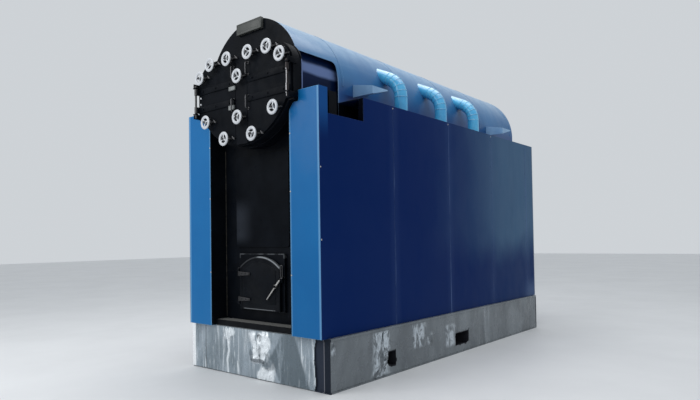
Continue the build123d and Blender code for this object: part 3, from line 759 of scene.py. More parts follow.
    def oval(self, middle: tuple[float, float], half: tuple[float, float],
             ragged: float = 1.7) -> Pattern:
        """Gives 1 inside a ragged oval seen along Y.

        Args:
            middle: Its middle in X and Z.
            half: Half its width and height.
            ragged: How far its outline wanders, as a share of its size.

        Returns:
            1 inside the oval and 0 outside it.
        """
        scale = (1 / half[0], 0, 1 / half[1])
        shift = (-middle[0] / half[0], 0, -middle[1] / half[1])
        size = self.mapped("ShaderNodeVectorMath", scale, shift, operation="LENGTH")
        wander = self.noise(10, 5, 0.62, (1, 1, 0.42), 1.0) * ragged
        reach = Pattern(self, size.outputs["Value"]) + wander
        return reach.ramp(1 + ragged * 0.62, 1 + ragged * 0.4)

    def set(self, **values: Value) -> None:
        """Gives the shader's sockets their values; an underscore stands for a space."""
        for key, value in values.items():
            self.feed(self.shader.inputs[key.replace("_", " ")], value)


@dataclass(frozen=True)
class Finish:
    """A surface finish with the record's slot that it belongs to."""

    name: str
    slot: str

    def tint(self, sheet: NodeSheet) -> None:
        """Lays the finish's coats of colour on a sheet."""
        raise NotImplementedError

    def lay(self, sheet: NodeSheet) -> None:
        """Lays the whole finish on a sheet."""
        raise NotImplementedError

    def material(self) -> bpy.types.Material:
        """Gives the finish's material, made once.

        Returns:
            The material.
        """
        if self.name not in bpy.data.materials:
            self.lay(NodeSheet(self.name))
        return bpy.data.materials[self.name]


@dataclass(frozen=True)
class Enamel(Finish):
    """Sprayed paint on sheet steel, with slow colour drift, dust and painted sheen on upward faces,
    and paler edges.
    """

    colour: Colour
    shade: Colour
    edge: Colour
    dust_and_sheen: Colour
    roughness: float = 0.4
    coat: float = 0.05
    specular: float = 0.5
    ripple: float = 0.004
    drift: float = 1.1
    dust_and_sheen_share: float = 0.5
    dust_and_sheen_from: float = 0.55
    dust_and_sheen_low: float = 0.45
    edge_share: float = 0.6
    edge_radius: float = 0.003

    def tint(self, sheet: NodeSheet) -> None:
        """Lays the paint's colour, which drifts slowly."""
        sheet.colour = self.colour
        sheet.paint(self.shade, sheet.noise(self.drift, 3, 0.6).ramp(0.3, 0.7))

    def lay(self, sheet: NodeSheet) -> None:
        """Lays colour, dust and painted sheen on upward faces, edge wear, gloss and relief.

        Args:
            sheet: The finish's nodes.
        """
        self.tint(sheet)
        # Dust and painted sheen on upward faces, broken into patches.
        cloud = sheet.noise(6, 5).ramp(0.25, 0.75, self.dust_and_sheen_low)
        sheet.paint(self.dust_and_sheen, sheet.upward(self.dust_and_sheen_from) * self.dust_and_sheen_share * cloud)
        scuff = sheet.noise(26, 4).ramp(0.2, 0.6, 0.35)
        sheet.paint(self.edge, sheet.edges(self.edge_radius) * self.edge_share * scuff)
        smear = sheet.noise(5, 5, 0.65, (1, 1, 0.35))
        gloss = smear.ramp(0.3, 0.75, self.roughness * 0.8, self.roughness * 1.35)
        wave = sheet.bump(
            sheet.noise(1.4, 2, 0.4), self.ripple, sheet.rounded(self.edge_radius)
        )
        peel = sheet.bump(sheet.noise(420, 2), 0.00012, wave)
        sheet.set(
            Base_Color=sheet.colour, Roughness=gloss, Normal=peel,
            Specular_IOR_Level=self.specular, Coat_Weight=self.coat, Coat_Roughness=0.09,
            Coat_IOR=1.45,
        )


@dataclass(frozen=True)
class WallEnamel(Enamel):
    """Navy enamel of the housing sheets, with a painted reflection growing towards the rear, and
    pale seams.
    """

    def tint(self, sheet: NodeSheet) -> None:
        """Adds the painted reflection towards the rear, the pale seams and corner, painted shade in
        the notch, and the column's flank in a darker column blue as painted shade.

        Args:
            sheet: The finish's nodes.
        """
        super().tint(sheet)
        side = sheet.facing(X)
        # Painted reflection of the bright sky, growing towards the rear and fading out towards the
        # foot.
        rear_sky_sheen = (sheet.y + sheet.noise(0.9, 3, 0.5, (1, 1, 0.7), 0.4) * 1.2).ramp(-1.0, 2.75)
        lift = sheet.noise(1.1, 3, 0.5, (1, 1, 0.5), 0.6) * 0.9
        foot = (sheet.z - lift).ramp(0.6, 1.25, 0.14)
        sheet.paint(tone(70, 100, 130), rear_sky_sheen * rear_sky_sheen * side * foot)
        streak = sheet.noise(2.2, 3, 0.5, (1, 4.5, 0.3)).ramp(0.55, 0.75, 0, 0.35)
        sheet.paint(tone(48, 78, 110), streak * sheet.y.ramp(1.0, 2.4) * side)
        patch = sheet.noise(2.6, 4, 0.6, (1, 1, 0.25)).ramp(0.4, 0.6)
        for seam in SEAMS:
            gap = sheet.y.off(seam + 0.008)
            sheet.paint(self.edge, gap.ramp(0.016, 0.006, 0, 0.45) * patch)
            sheet.paint(self.edge, gap.ramp(0.13, 0.02, 0, 0.05))
        low = sheet.y.ramp(2.1, 2.5) * sheet.z.ramp(0.9, 0.62)
        sheet.paint(tone(84, 106, 142), low * side * 0.6)
        sheet.paint(tone(150, 158, 168), side * sheet.y.ramp(2.62, 2.64, 0, 0.6))
        # Painted near-black shade on faces that look along Y near the top front, inside the notch.
        cut = sheet.y.ramp(-1.9, -1.93) * sheet.z.ramp(2.7, 2.75)
        sheet.paint((0.003, 0.004, 0.008), cut * sheet.facing(Y))
        # Column blue on the column's side return, darker than its front as painted shade, faded in
        # from 2.5 m up.
        sheet.paint(tone(24, 76, 138), sheet.y.ramp(-2.518, -2.528) * sheet.z.ramp(2.5, 2.9))


@dataclass(frozen=True)
class ColumnEnamel(Enamel):
    """Light blue enamel of the front columns, black where they face the recess."""

    # Colour of the painted highlights along the edges.
    pale: Colour = tone(120, 172, 212)

    def tint(self, sheet: NodeSheet) -> None:
        """Adds painted highlights along the edges, a painted shadow below the right ear and the
        black inner return.

        Args:
            sheet: The finish's nodes.
        """
        super().tint(sheet)
        across = abs(sheet.x)
        # Painted highlights along the outer and inner edges.
        sheet.paint(self.pale, across.ramp(1.054, 1.068, 0, 0.55))
        sheet.paint(self.pale, across.ramp(0.69, 0.679, 0, 0.35))
        # Painted shadow of the smoke box's right ear on the column face.
        ear = sheet.x.ramp(0.84, 0.72) * sheet.x.ramp(0.5, 0.6) * sheet.z.ramp(2.84, 2.96, 0, 0.8)
        sheet.paint(tone(14, 34, 84), ear)
        sheet.paint((0.003, 0.004, 0.006), across.ramp(0.6705, 0.6695))


@dataclass(frozen=True)
class DrumEnamel(Enamel):
    """Dark enamel of the drum, with a painted reflection band along its upper flank and painted
    shade on its underside.
    """

    def tint(self, sheet: NodeSheet) -> None:
        """Adds the painted reflection band and the painted shade on the underside to the paint.

        Args:
            sheet: The finish's nodes.
        """
        super().tint(sheet)
        # Painted reflection of the sky in a band along the upper flank.
        off = sheet.z.off(3.365) + sheet.noise(3) * 0.03
        sheet.paint(tone(100, 120, 164), off.ramp(0.095, 0.05))
        # Painted near-black shade below the deck line.
        sheet.paint((0.0025, 0.0035, 0.006), sheet.z.ramp(3.08, 2.98))


@dataclass(frozen=True)
class CladdingEnamel(Enamel):
    """Blue enamel of the drum cladding, with painted shade on the skirts and painted shadows under
    the brackets.
    """

    brackets: tuple[float, float] = (-1.5, 1.85)

    def tint(self, sheet: NodeSheet) -> None:
        """Adds the painted shade on the skirts, the painted shadows under the brackets and the pale
        front edge to the paint.

        Args:
            sheet: The finish's nodes.
        """
        super().tint(sheet)
        # Painted shade, deepening down the lower flanks.
        sheet.paint(tone(26, 62, 124), sheet.z.ramp(3.4, 3.12, 0, 0.75))
        # Painted shadows cast by the brackets on the skirt below them.
        bracket_shadow_height = sheet.z.ramp(3.17, 3.155)
        for middle in self.brackets:
            near = sheet.y.off(middle).ramp(0.42, 0.24, 0, 0.85)
            sheet.paint(tone(24, 38, 84), near * bracket_shadow_height)
        sheet.paint(self.edge, sheet.y.ramp(-1.944, -1.952) * sheet.z.ramp(3.42, 3.3) * 0.5)
        # Painted near-black shade below the deck line.
        sheet.paint((0.002, 0.003, 0.007), sheet.z.ramp(3.052, 3.046))


@dataclass(frozen=True)
class Cast(Finish):
    """Near-black semi-gloss paint on plate and castings."""

    colour: Colour = (0.0028, 0.0038, 0.0058)
    edge: Colour = (0.05, 0.054, 0.06)
    dust_and_sheen: Colour = (0.022, 0.023, 0.024)
    roughness: float = 0.36
    specular: float = 0.04
    wear: float = 0.6
    corner: float = 0.002

    def tint(self, sheet: NodeSheet) -> None:
        """Lays the paint's colour, lighter in patches.

        Args:
            sheet: The finish's nodes.
        """
        sheet.colour = self.colour
        lighter = tuple(part * 1.5 + 0.0006 for part in self.colour)
        sheet.paint(lighter, sheet.noise(4, 5, 0.6).ramp(0.35, 0.75))

    def lay(self, sheet: NodeSheet) -> None:
        """Lays brushed-on black paint with greyed edges, and settled dust with painted sheen on
        upward faces.

        Args:
            sheet: The finish's nodes.
        """
        self.tint(sheet)
        # Dust and painted sheen on upward faces.
        sheet.paint(self.dust_and_sheen, sheet.upward() * self.wear)
        scuff = sheet.noise(45, 4).ramp(0.35, 0.6)
        sheet.paint(self.edge, sheet.edges(self.corner) * self.wear * scuff)
        gloss = sheet.noise(7, 5, 0.6).ramp(0.3, 0.7, self.roughness * 0.75, self.roughness * 1.5)
        relief = sheet.bump(sheet.noise(150), 0.0003, sheet.rounded(self.corner))
        sheet.set(
            Base_Color=sheet.colour, Roughness=gloss, Normal=relief,
            Specular_IOR_Level=self.specular,
        )


@dataclass(frozen=True)
class RimmedCast(Cast):
    """Black paint with a pale blue-grey outer rim, a painted highlight, as on the plate behind the
    smoke box.
    """

    def tint(self, sheet: NodeSheet) -> None:
        """Adds the rim's painted highlight to the paint."""
        super().tint(sheet)
        sheet.paint(tone(104, 120, 160), abs(sheet.x).ramp(0.788, 0.794))


@dataclass(frozen=True)
class CoverWithPaintedSheen(Cast):
    """Black cover plate with a painted bluish-grey sheen over its lower left."""

    def tint(self, sheet: NodeSheet) -> None:
        """Adds the painted sheen to the paint.

        Args:
            sheet: The finish's nodes.
        """
        super().tint(sheet)
        share = sheet.x.ramp(-0.12, -0.4) * sheet.z.ramp(2.05, 1.8) * sheet.z.ramp(1.45, 1.6)
        sheet.paint((0.022, 0.026, 0.034), share * sheet.noise(2.5).ramp(0.2, 0.6, 0.4))


@dataclass(frozen=True)
class FrameCast(Cast):
    """Black paint of the fire door's frame, with a broken pale line along its top edge."""

    edge: Colour = tone(110, 114, 118)
    top: float = 1.375
    half: float = 0.375

    def tint(self, sheet: NodeSheet) -> None:
        """Adds the pale top edge and corners to the paint.

        Args:
            sheet: The finish's nodes.
        """
        super().tint(sheet)
        rim = sheet.z.ramp(self.top - 0.014, self.top - 0.008)
        across = abs(sheet.x).ramp(self.half - 0.02, self.half - 0.01)
        corner = across * sheet.z.ramp(self.top - 0.06, self.top - 0.04)
        sheet.paint(self.edge, rim.either(corner) * sheet.noise(14, 4).ramp(0.4, 0.65, 0.06, 0.5))


@dataclass(frozen=True)
class DoorCast(Cast):
    """Black door paint, with a painted highlight along the right of its arched top and a pale line
    along its foot.
    """

    middle: float = 0.005
    axis: float = 0.8312
    radius: float = 0.5138

    def tint(self, sheet: NodeSheet) -> None:
        """Adds the painted highlight and the pale foot line to the paint.

        Args:
            sheet: The finish's nodes.
        """
        super().tint(sheet)
        across, rise = sheet.x - self.middle, sheet.z - self.axis
        out = (across * across + rise * rise).reckon("SQRT")
        arch_highlight = out.ramp(self.radius - 0.02, self.radius - 0.012)
        arch_highlight = arch_highlight * sheet.x.ramp(-0.06, 0.02, 0.12) * sheet.z.ramp(1.2, 1.23)
        foot = sheet.z.off(0.753).ramp(0.006, 0.002, 0, 0.6) * abs(sheet.x).ramp(0.28, 0.24)
        arch_highlight_and_foot_line = arch_highlight.either(foot) * sheet.noise(18, 4).ramp(0.25, 0.45)
        sheet.paint(tone(132, 136, 140), arch_highlight_and_foot_line)


@dataclass(frozen=True)
class BareSteel(Finish):
    """Bare steel with fine turning marks and brown-grey stains."""

    colour: Colour = (0.52, 0.51, 0.49)
    stain: Colour = (0.2, 0.17, 0.14)
    roughness: float = 0.32

    def tint(self, sheet: NodeSheet) -> None:
        """Lays the steel's colour with its stains."""
        sheet.colour = self.colour
        sheet.paint(self.stain, sheet.noise(22, 5, 0.65).ramp(0.5, 0.8, 0, 0.75))

    def lay(self, sheet: NodeSheet) -> None:
        """Lays metal with marks and stains.

        Args:
            sheet: The finish's nodes.
        """
        self.tint(sheet)
        marks = sheet.noise(1, 3, 0.5, (60, 60, 900))
        gloss = marks.ramp(0.2, 0.8, self.roughness * 0.7, self.roughness * 1.5)
        relief = sheet.bump(marks, 0.0002, sheet.rounded(0.001))
        sheet.set(Base_Color=sheet.colour, Roughness=gloss, Normal=relief, Metallic=0.85)


@dataclass(frozen=True)
class PinWithPaintedHighlight(BareSteel):
    """Dark pin steel with one painted highlight line down its front."""

    def tint(self, sheet: NodeSheet) -> None:
        """Adds the painted highlight line to the steel.

        Args:
            sheet: The finish's nodes.
        """
        super().tint(sheet)
        off = abs((sheet.x - HINGE[X]) * 0.85 + (sheet.y - HINGE[Y]) * 0.45 + 0.006)
        sheet.paint(tone(158, 158, 160), off.ramp(0.0055, 0.003) * sheet.z.ramp(3.26, 3.24))


@dataclass(frozen=True)
class WheelEnamel(Finish):
    """White enamel on cast wheels, chipped and grimy near the hub."""

    colour: Colour = (0.55, 0.57, 0.6)
    grime: Colour = (0.2, 0.19, 0.18)

    def lay(self, sheet: NodeSheet) -> None:
        """Lays white enamel with grime in patches and chipped edges.

        Args:
            sheet: The finish's nodes.
        """
        sheet.colour = self.colour
        sheet.paint(self.grime, sheet.noise(48, 5, 0.7).ramp(0.56, 0.8, 0, 0.75))
        sheet.paint((0.08, 0.07, 0.06), sheet.edges(0.0015) * sheet.noise(90).ramp(0.5, 0.6))
        relief = sheet.bump(sheet.noise(240), 0.0003)
        gloss = sheet.noise(30, 4).ramp(0.3, 0.7, 0.22, 0.45)
        sheet.set(Base_Color=sheet.colour, Roughness=gloss, Normal=relief, Coat_Weight=0.3)


@dataclass(frozen=True)
class Film(Finish):
    """Wrapping film pulled tight over steel, streaked and creased."""

    colour: Colour
    shade: Colour
    glare: Colour = tone(228, 232, 235)
    crease: float = 0.006
    roughness: float = 0.3
    metal: float = 0.3
    glare_share: float = 0.25

    def tint(self, sheet: NodeSheet) -> None:
        """Lays the film's colour with dark streaks and streaks of painted glare.

        Args:
            sheet: The finish's nodes.
        """
        sheet.colour = self.shade
        sheet.paint(self.colour, sheet.noise(1.7, 4, 0.6, (1, 1, 0.6), 0.8).ramp(0.34, 0.66))
        streak = sheet.noise(5, 5, 0.6, (1, 1, 0.14), 0.5)
        sheet.paint(self.shade, streak.ramp(0.5, 0.8, 0, 0.35))
        sheet.paint(self.glare, streak.ramp(0.42, 0.24, 0, self.glare_share))

    def folds(self, sheet: NodeSheet) -> Socket:
        """Gives the relief of the long soft folds."""
        return sheet.bump(sheet.noise(4, 4, 0.55, (1, 1, 0.2), 0.9), self.crease * 4)

    def relief(self, sheet: NodeSheet) -> Socket:
        """Gives the relief of the folds with fine creases."""
        fine = sheet.noise(28, 4, 0.6, (1, 1, 0.25), 0.6)
        return sheet.bump(fine, self.crease * 0.4, self.folds(sheet))

    def lay(self, sheet: NodeSheet) -> None:
        """Lays the film's colour, gloss and relief.

        Args:
            sheet: The finish's nodes.
        """
        self.tint(sheet)
        gloss = sheet.noise(8, 4).ramp(0.3, 0.7, self.roughness * 0.7, self.roughness * 1.4)
        sheet.set(
            Base_Color=sheet.colour, Roughness=gloss, Normal=self.relief(sheet),
            Metallic=self.metal, Specular_IOR_Level=0.4,
        )


@dataclass(frozen=True)
class Crush:
    """A crushed stretch of film, placed by its middle along the face and its height."""

    middle: float
    half: float
    low: float
    high: float
    # Shares of the painted highlight on the facets and of the painted shade in the folds.
    glare: float
    fold: float

    def weight(self, along: float, height: float) -> float:
        """Gives how strongly the film is crushed at a place, from 0 to 1.

        Args:
            along: Where the place is along the face.
            height: How high it is.

        Returns:
            The weight.
        """
        off = max(0.0, 1 - abs(along - self.middle) / self.half)
        reach = min(1.0, max(0.0, min(height - self.low, self.high - height) / 0.05))
        return min(1.0, off * 1.8) * reach


FRONT_CRUSHES = (
    Crush(0.1, 0.22, 0.16, 0.53, 1.0, 0.9),
    Crush(0.22, 0.17, 0.0, 0.17, 1.0, 0.6),
    Crush(-0.45, 0.12, 0.36, 0.53, 0.6, 0.2),
)
SIDE_CRUSHES = (
    Crush(-1.74, 0.24, 0.0, 0.53, 0.75, 1.0),
    Crush(-0.98, 0.2, 0.2, 0.53, 0.7, 0.3),
    Crush(-0.26, 0.18, 0.1, 0.42, 0.7, 0.3),
    Crush(-0.74, 0.1, 0.2, 0.38, 0.8, 0.3),
    Crush(-2.53, 0.05, 0.36, 0.52, 0.8, 0.6),
)


@dataclass(frozen=True)
class WrapFilm(Film):
    """Film with crushed stretches of facets with painted highlights and folds with painted shade."""

    lengthways: bool = False
    crushes: tuple[Crush, ...] = ()
    pull: float = 0.5

    def tint(self, sheet: NodeSheet) -> None:
        """Adds the painted highlights on the facets and the painted shade in the folds to the film.

        Args:
            sheet: The finish's nodes.
        """
        super().tint(sheet)
        bright = sheet.noise(8, 5, 0.62, (1, 1, self.pull), 1.8).ramp(0.42, 0.54)
        fold = sheet.noise(11, 4, 0.6, (1, 1, self.pull * 0.9), 1.6).ramp(0.54, 0.62)
        dark = fold.either(sheet.cracks(13, (1, 1, 0.55)).ramp(0.06, 0.0, 0, 0.6))
        for crush in self.crushes:
            share = self.share(sheet, crush)
            # Painted highlights on the facets and painted shade in the folds.
            sheet.paint(self.glare, share * bright * crush.glare)
            sheet.paint(tone(56, 66, 74), share * dark * crush.fold)

    def share(self, sheet: NodeSheet, crush: Crush) -> Pattern:
        """Gives 1 where the film is crushed.

        Args:
            sheet: The finish's nodes.
            crush: The crushed stretch.

        Returns:
            The pattern.
        """
        along = sheet.y if self.lengthways else sheet.x
        off = along.off(crush.middle) + sheet.noise(7, 4, 0.6) * (crush.half * 0.9)
        across = off.ramp(crush.half * 1.25, crush.half * 0.85)
        floor = sheet.z.ramp(crush.low, crush.low + 0.05)
        return across * floor * sheet.z.ramp(crush.high, crush.high - 0.05)

    def relief(self, sheet: NodeSheet) -> Socket:
        """Gives the relief of the folds, with sharp creases where the film is crushed.

        Args:
            sheet: The finish's nodes.

        Returns:
            The surface direction.
        """
        relief = self.folds(sheet)
        sharp = sheet.noise(10, 4, 0.6, (1, 1, 0.5), 1.8)
        for crush in self.crushes:
            relief = sheet.bump(sharp * self.share(sheet, crush), self.crease * 3, relief)
        return relief


@dataclass(frozen=True)
class FrontFilm(WrapFilm):
    """Silver film over the front beam, with a lap line, a pale edge and a grey patch."""

    sheens: tuple = (
        ((0.19, 0.44), (0.08, 0.14), 1.0), ((0.15, 0.31), (0.04, 0.1), 1.0),
        ((0.0, 0.43), (0.045, 0.1), 0.6), ((0.035, 0.3), (0.018, 0.09), 0.65),
        ((0.21, 0.055), (0.12, 0.08), 0.95), ((0.31, 0.1), (0.04, 0.09), 0.6),
        ((-0.41, 0.48), (0.07, 0.05), 0.8), ((-0.44, 0.42), (0.025, 0.08), 0.7),
    )
    shaded_hollows: tuple = (
        ((0.07, 0.205), (0.13, 0.022), 0.75), ((-0.04, 0.25), (0.03, 0.06), 0.6),
        ((0.095, 0.3), (0.02, 0.08), 0.5), ((0.25, 0.17), (0.09, 0.05), 0.5),
    )

    def tint(self, sheet: NodeSheet) -> None:
        """Adds the pleats with painted highlights and shade, the lap line, the pale edge, a fold
        with a painted highlight, the grey patch, the painted sheens and painted shade in hollow
        spots.

        Args:
            sheet: The finish's nodes.
        """
        super().tint(sheet)
        # Fine pleats: painted highlights on their crests and painted shade between them.
        pleat = sheet.noise(24, 4, 0.62, (1, 1, 0.07), 0.9)
        sheet.paint(self.glare, pleat.ramp(0.56, 0.67, 0, 0.7))
        sheet.paint(tone(92, 102, 110), pleat.ramp(0.43, 0.33, 0, 0.5))
        sheet.paint(tone(60, 66, 72), sheet.x.off(-0.862).ramp(0.011, 0.003, 0, 0.8))
        sheet.paint(tone(240, 243, 245), sheet.x.ramp(-1.06, -1.078))
        # A diagonal fold with a painted highlight.
        fold = abs(sheet.x - sheet.noise(2.5, 3, 0.5) * 0.16 + 0.53)
        sheet.paint(self.glare, fold.ramp(0.022, 0.006, 0, 0.75))
        knee = sheet.x - sheet.z.off(0.26) * 0.7
        left = (knee + sheet.noise(5, 4, 0.6) * 0.14).ramp(0.3, 0.36)
        right = (sheet.x + sheet.z * 0.42).ramp(0.885, 0.84)
        streak = sheet.noise(13, 4, 0.6, (1, 1, 0.16), 0.9).ramp(0.56, 0.66, 1, 0.45)
        sheet.paint(tone(98, 110, 118), left * right * streak)
        groove = sheet.noise(16, 5, 0.68, (1, 1, 0.2), 1.2).ramp(0.5, 0.62, 1, 0.25)
        for middle, half, share in self.sheens:
            sheet.paint(self.glare, sheet.oval(middle, half) * share * groove)
        # Painted shade in hollow spots.
        for middle, half, share in self.shaded_hollows:
            sheet.paint(tone(74, 84, 92), sheet.oval(middle, half) * share)


@dataclass(frozen=True)
class SideFilm(WrapFilm):
    """Grey film over the long beams, with dark tears near the rear."""

    tears: tuple = ((1.95, 2.34), (-0.75, -0.69))

    def tint(self, sheet: NodeSheet) -> None:
        """Adds the tears to the film.

        Args:
            sheet: The finish's nodes.
        """
        super().tint(sheet)
        tear = sheet.noise(14, 4, 0.6, (1, 1, 0.6), 0.8).ramp(0.58, 0.62)
        height = sheet.z.ramp(0.14, 0.18) * sheet.z.ramp(0.3, 0.26)
        for low, high in self.tears:
            near = sheet.y.ramp(low, low + 0.03) * sheet.y.ramp(high, high - 0.03)
            sheet.paint(tone(34, 38, 44), near * height * tear)


@dataclass(frozen=True)
class WrappedBeam(Film):
    """Film wrapped over the base beams, with bare primer at one end of the front."""

    def bare(self, sheet: NodeSheet) -> Pattern:
        """Gives 1 where the film is torn off."""
        start = (sheet.x + sheet.noise(9, 4) * 0.03).ramp(0.925, 0.935)
        return start * sheet.y.ramp(-2.561, -2.566)

    def tint(self, sheet: NodeSheet) -> None:
        """Adds the bare primer, in two tones with a pale line, to the film.

        Args:
            sheet: The finish's nodes.
        """
        super().tint(sheet)
        primer = sheet.blend(sheet.x.ramp(1.035, 1.045), tone(48, 54, 66), tone(34, 40, 50))
        line = sheet.x.off(1.04).ramp(0.006, 0.002, 0, 0.6)
        sheet.paint(sheet.blend(line, primer, tone(150, 150, 156)), self.bare(sheet))

    def lay(self, sheet: NodeSheet) -> None:
        """Lays the film, dull where it is torn off.

        Args:
            sheet: The finish's nodes.
        """
        super().lay(sheet)
        bare = self.bare(sheet)
        shine = bare.ramp(0, 1, 0.4, 0.04)
        sheet.set(Metallic=bare.ramp(0, 1, self.metal, 0), Specular_IOR_Level=shine)


@dataclass(frozen=True)
class Rough(Finish):
    """Dull hidden surfaces: primer, brick, iron and tube scale."""

    colour: Colour
    shade: Colour
    scale: float
    depth: float
    roughness: float
    courses: bool = False
    top: Colour | None = None
    specular: float = 0.12

    def lay(self, sheet: NodeSheet) -> None:
        """Lays a patchy dull surface, with brick courses where it has them.

        Args:
            sheet: The finish's nodes.
        """
        sheet.colour = self.colour
        sheet.paint(self.shade, sheet.noise(self.scale, 6, 0.65).ramp(0.3, 0.7))
        relief = sheet.bump(sheet.noise(self.scale * 9, 5), self.depth, sheet.rounded(0.002))
        if self.courses:
            joint = sheet.z.reckon("PINGPONG", 0.0375).ramp(0.002, 0.005)
            mortar = tuple(part * 0.55 for part in self.colour)
            sheet.colour = sheet.blend(joint, mortar, sheet.colour)
            relief = sheet.bump(joint, 0.004, relief)
        if self.top is not None:
            sheet.paint(self.top, sheet.upward())
        sheet.set(
            Base_Color=sheet.colour, Roughness=self.roughness, Normal=relief,
            Specular_IOR_Level=self.specular,
        )


class Shop:
    """The finishes used on the boiler."""

    # Its wide, strong pale edges are edge wear together with painted highlights.
    COLUMN = ColumnEnamel(
        "column_blue_enamel", "column_blue", tone(12, 102, 162), tone(6, 94, 154),
        tone(112, 172, 212), tone(100, 140, 160), drift=0.8, specular=0.15, ripple=0.0015,
        edge_radius=0.009, edge_share=0.85,
    )
    WALL = WallEnamel(
        "navy_wall_enamel", "navy_paint", tone(2, 33, 88), tone(10, 37, 90),
        tone(96, 120, 165), tone(60, 80, 110), coat=0, specular=0.03, ripple=0.003, drift=0.7,
    )
    # Its pale colour on upward faces, at a high share from low down, is a painted sky highlight.
    CLADDING = CladdingEnamel(
        "cladding_blue_enamel", "cladding_blue", tone(56, 112, 160), tone(44, 98, 148),
        tone(140, 172, 205), tone(164, 190, 210), roughness=0.36, coat=0.1, specular=0.22,
        dust_and_sheen_share=0.75, dust_and_sheen_from=0.2, dust_and_sheen_low=0.6, drift=0.9, edge_radius=0.006,
    )
    # A lighter copy of the cladding blue: the brackets painted as lit, with a painted highlight on
    # upward faces.
    BRACKET = Enamel(
        "bracket_blue_enamel", "cladding_blue", tone(140, 178, 212), tone(116, 156, 196),
        tone(176, 200, 220), tone(190, 204, 214), roughness=0.36, coat=0.1, specular=0.25,
        dust_and_sheen_share=0.8, dust_and_sheen_from=0.3, drift=3,
    )
    # A much darker copy of the cladding blue, painted as shade under the canopy.
    DRUM = DrumEnamel(
        "drum_blue_enamel", "cladding_blue", tone(8, 24, 54), tone(10, 28, 64),
        tone(90, 110, 150), tone(60, 80, 120), roughness=0.34, coat=0, specular=0.06,
        dust_and_sheen_share=0.3,
    )
    # Its pale colour on upward faces, at full share, is a painted highlight.
    CASING = Enamel(
        "pipe_casing_blue", "pipe_blue", tone(84, 182, 226), tone(60, 156, 208),
        tone(190, 225, 240), tone(206, 228, 240), roughness=0.24, coat=0.3, dust_and_sheen_share=1.0,
        dust_and_sheen_from=0.25, drift=5,
    )
    BLACK = Cast("black_plate_paint", "black_paint")
    BOX_BACK = RimmedCast("pale_rimmed_black", "black_paint")
    DOOR_FRAME = FrameCast("door_frame_black", "black_paint")
    COVER = CoverWithPaintedSheen("cover_black_painted_sheen", "black_paint", specular=0.03)
    LEAF = Cast("leaf_black_paint", "black_paint", roughness=0.42, specular=0.035)
    DOOR = DoorCast("fire_door_black_paint", "black_paint", roughness=0.42, specular=0.06)
    PLATE = Enamel(
        "grey_plate_paint", "grey_plate", tone(78, 80, 78), tone(66, 68, 66),
        tone(150, 152, 150), tone(126, 126, 122), roughness=0.45, specular=0.2, ripple=0.0005,
    )
    PAD = Enamel(
        "pale_pad_paint", "grey_plate", tone(140, 144, 144), tone(96, 100, 100),
        tone(190, 194, 194), tone(150, 150, 148), specular=0.3, ripple=0.0005, drift=30,
    )
    WHEEL = WheelEnamel("white_wheel_enamel", "wheel_white")
    SPIDER = WheelEnamel("grey_spoke_enamel", "wheel_white", tone(206, 209, 212), tone(96, 96, 96))
    STEEL = BareSteel("bare_worn_steel", "bright_steel")
    CLAW = BareSteel("bare_claw_steel", "bright_steel", tone(92, 92, 94), tone(52, 50, 48), 0.42)
    PIN = PinWithPaintedHighlight("pin_steel_painted_highlight", "bright_steel", tone(56, 52, 52), tone(30, 28, 28), 0.36)
    # Dim steel of the left pins and knuckles, darker than bare steel as painted shade on the far
    # side.
    DARK_PIN = BareSteel(
        "dim_pin_steel", "bright_steel", tone(84, 84, 84), tone(44, 43, 42), 0.42
    )
    SCREW = BareSteel("oiled_screw_steel", "bright_steel", tone(64, 64, 66), tone(28, 27, 26), 0.42)
    BEAD = Rough("tan_sealant", "black_paint", tone(72, 69, 62), tone(34, 33, 31), 30, 0.001, 0.6)
    FILM = FrontFilm(
        "front_wrap_film", "base_steel", tone(162, 174, 184), tone(122, 134, 142),
        tone(240, 246, 250), roughness=0.26, metal=0.25, glare_share=0.6,
        crushes=FRONT_CRUSHES, pull=0.24,
    )
    SIDE_FILM = SideFilm(
        "side_wrap_film", "base_steel", tone(120, 127, 132), tone(98, 104, 109),
        tone(214, 224, 232), crease=0.004, metal=0.25, glare_share=0.3, lengthways=True,
        crushes=SIDE_CRUSHES,
    )
    BEAM = WrappedBeam(
        "wrapped_base_beam", "base_steel", tone(118, 125, 130), tone(98, 104, 108), crease=0.002
    )
    PRIMER = Rough(
        "grey_base_primer", "base_steel", tone(46, 47, 54), tone(34, 35, 40), 5, 0.0008, 0.6
    )
    SILL = Rough(
        "black_ledge_paint", "base_steel", tone(20, 22, 26), tone(12, 13, 16), 6, 0.001, 0.5,
        top=tone(112, 112, 110), specular=0.05,
    )
    BRICK = Rough(
        "fire_brick", "fire_brick", tone(178, 140, 104), tone(120, 92, 70), 6, 0.003, 0.9, True
    )
    IRON = Rough(
        "cast_grate_iron", "grate_iron", tone(70, 62, 58), tone(44, 40, 38), 12, 0.002, 0.7
    )
    TUBES = Rough(
        "scaled_tube_steel", "tube_steel", tone(90, 78, 70), tone(60, 54, 52), 14, 0.001, 0.6
    )


def settle(name: str, parts: Sequence[Piece], body: Body, finish: Finish, *stands_for: str,
           angle: float = 30) -> None:
    """Joins parts into a finished piece, shades it and gives it its finish and body.

    Args:
        name: Name of the piece.
        parts: What it is joined from.
        body: The body that it rides on.
        finish: Its finish.
        *stands_for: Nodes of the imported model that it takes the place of.
        angle: Faces that meet at a lower angle are shaded as one.
    """
    piece = join(name, parts)
    select_only(piece)
    bpy.ops.object.shade_smooth_by_angle(angle=math.radians(angle))
    piece.data.materials.clear()
    piece.data.materials.append(finish.material())
    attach(piece, body.value)
    if stands_for:
        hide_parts(*stands_for)
    LOG.info("%s: %d faces on %s", name, len(piece.data.polygons), body.value)


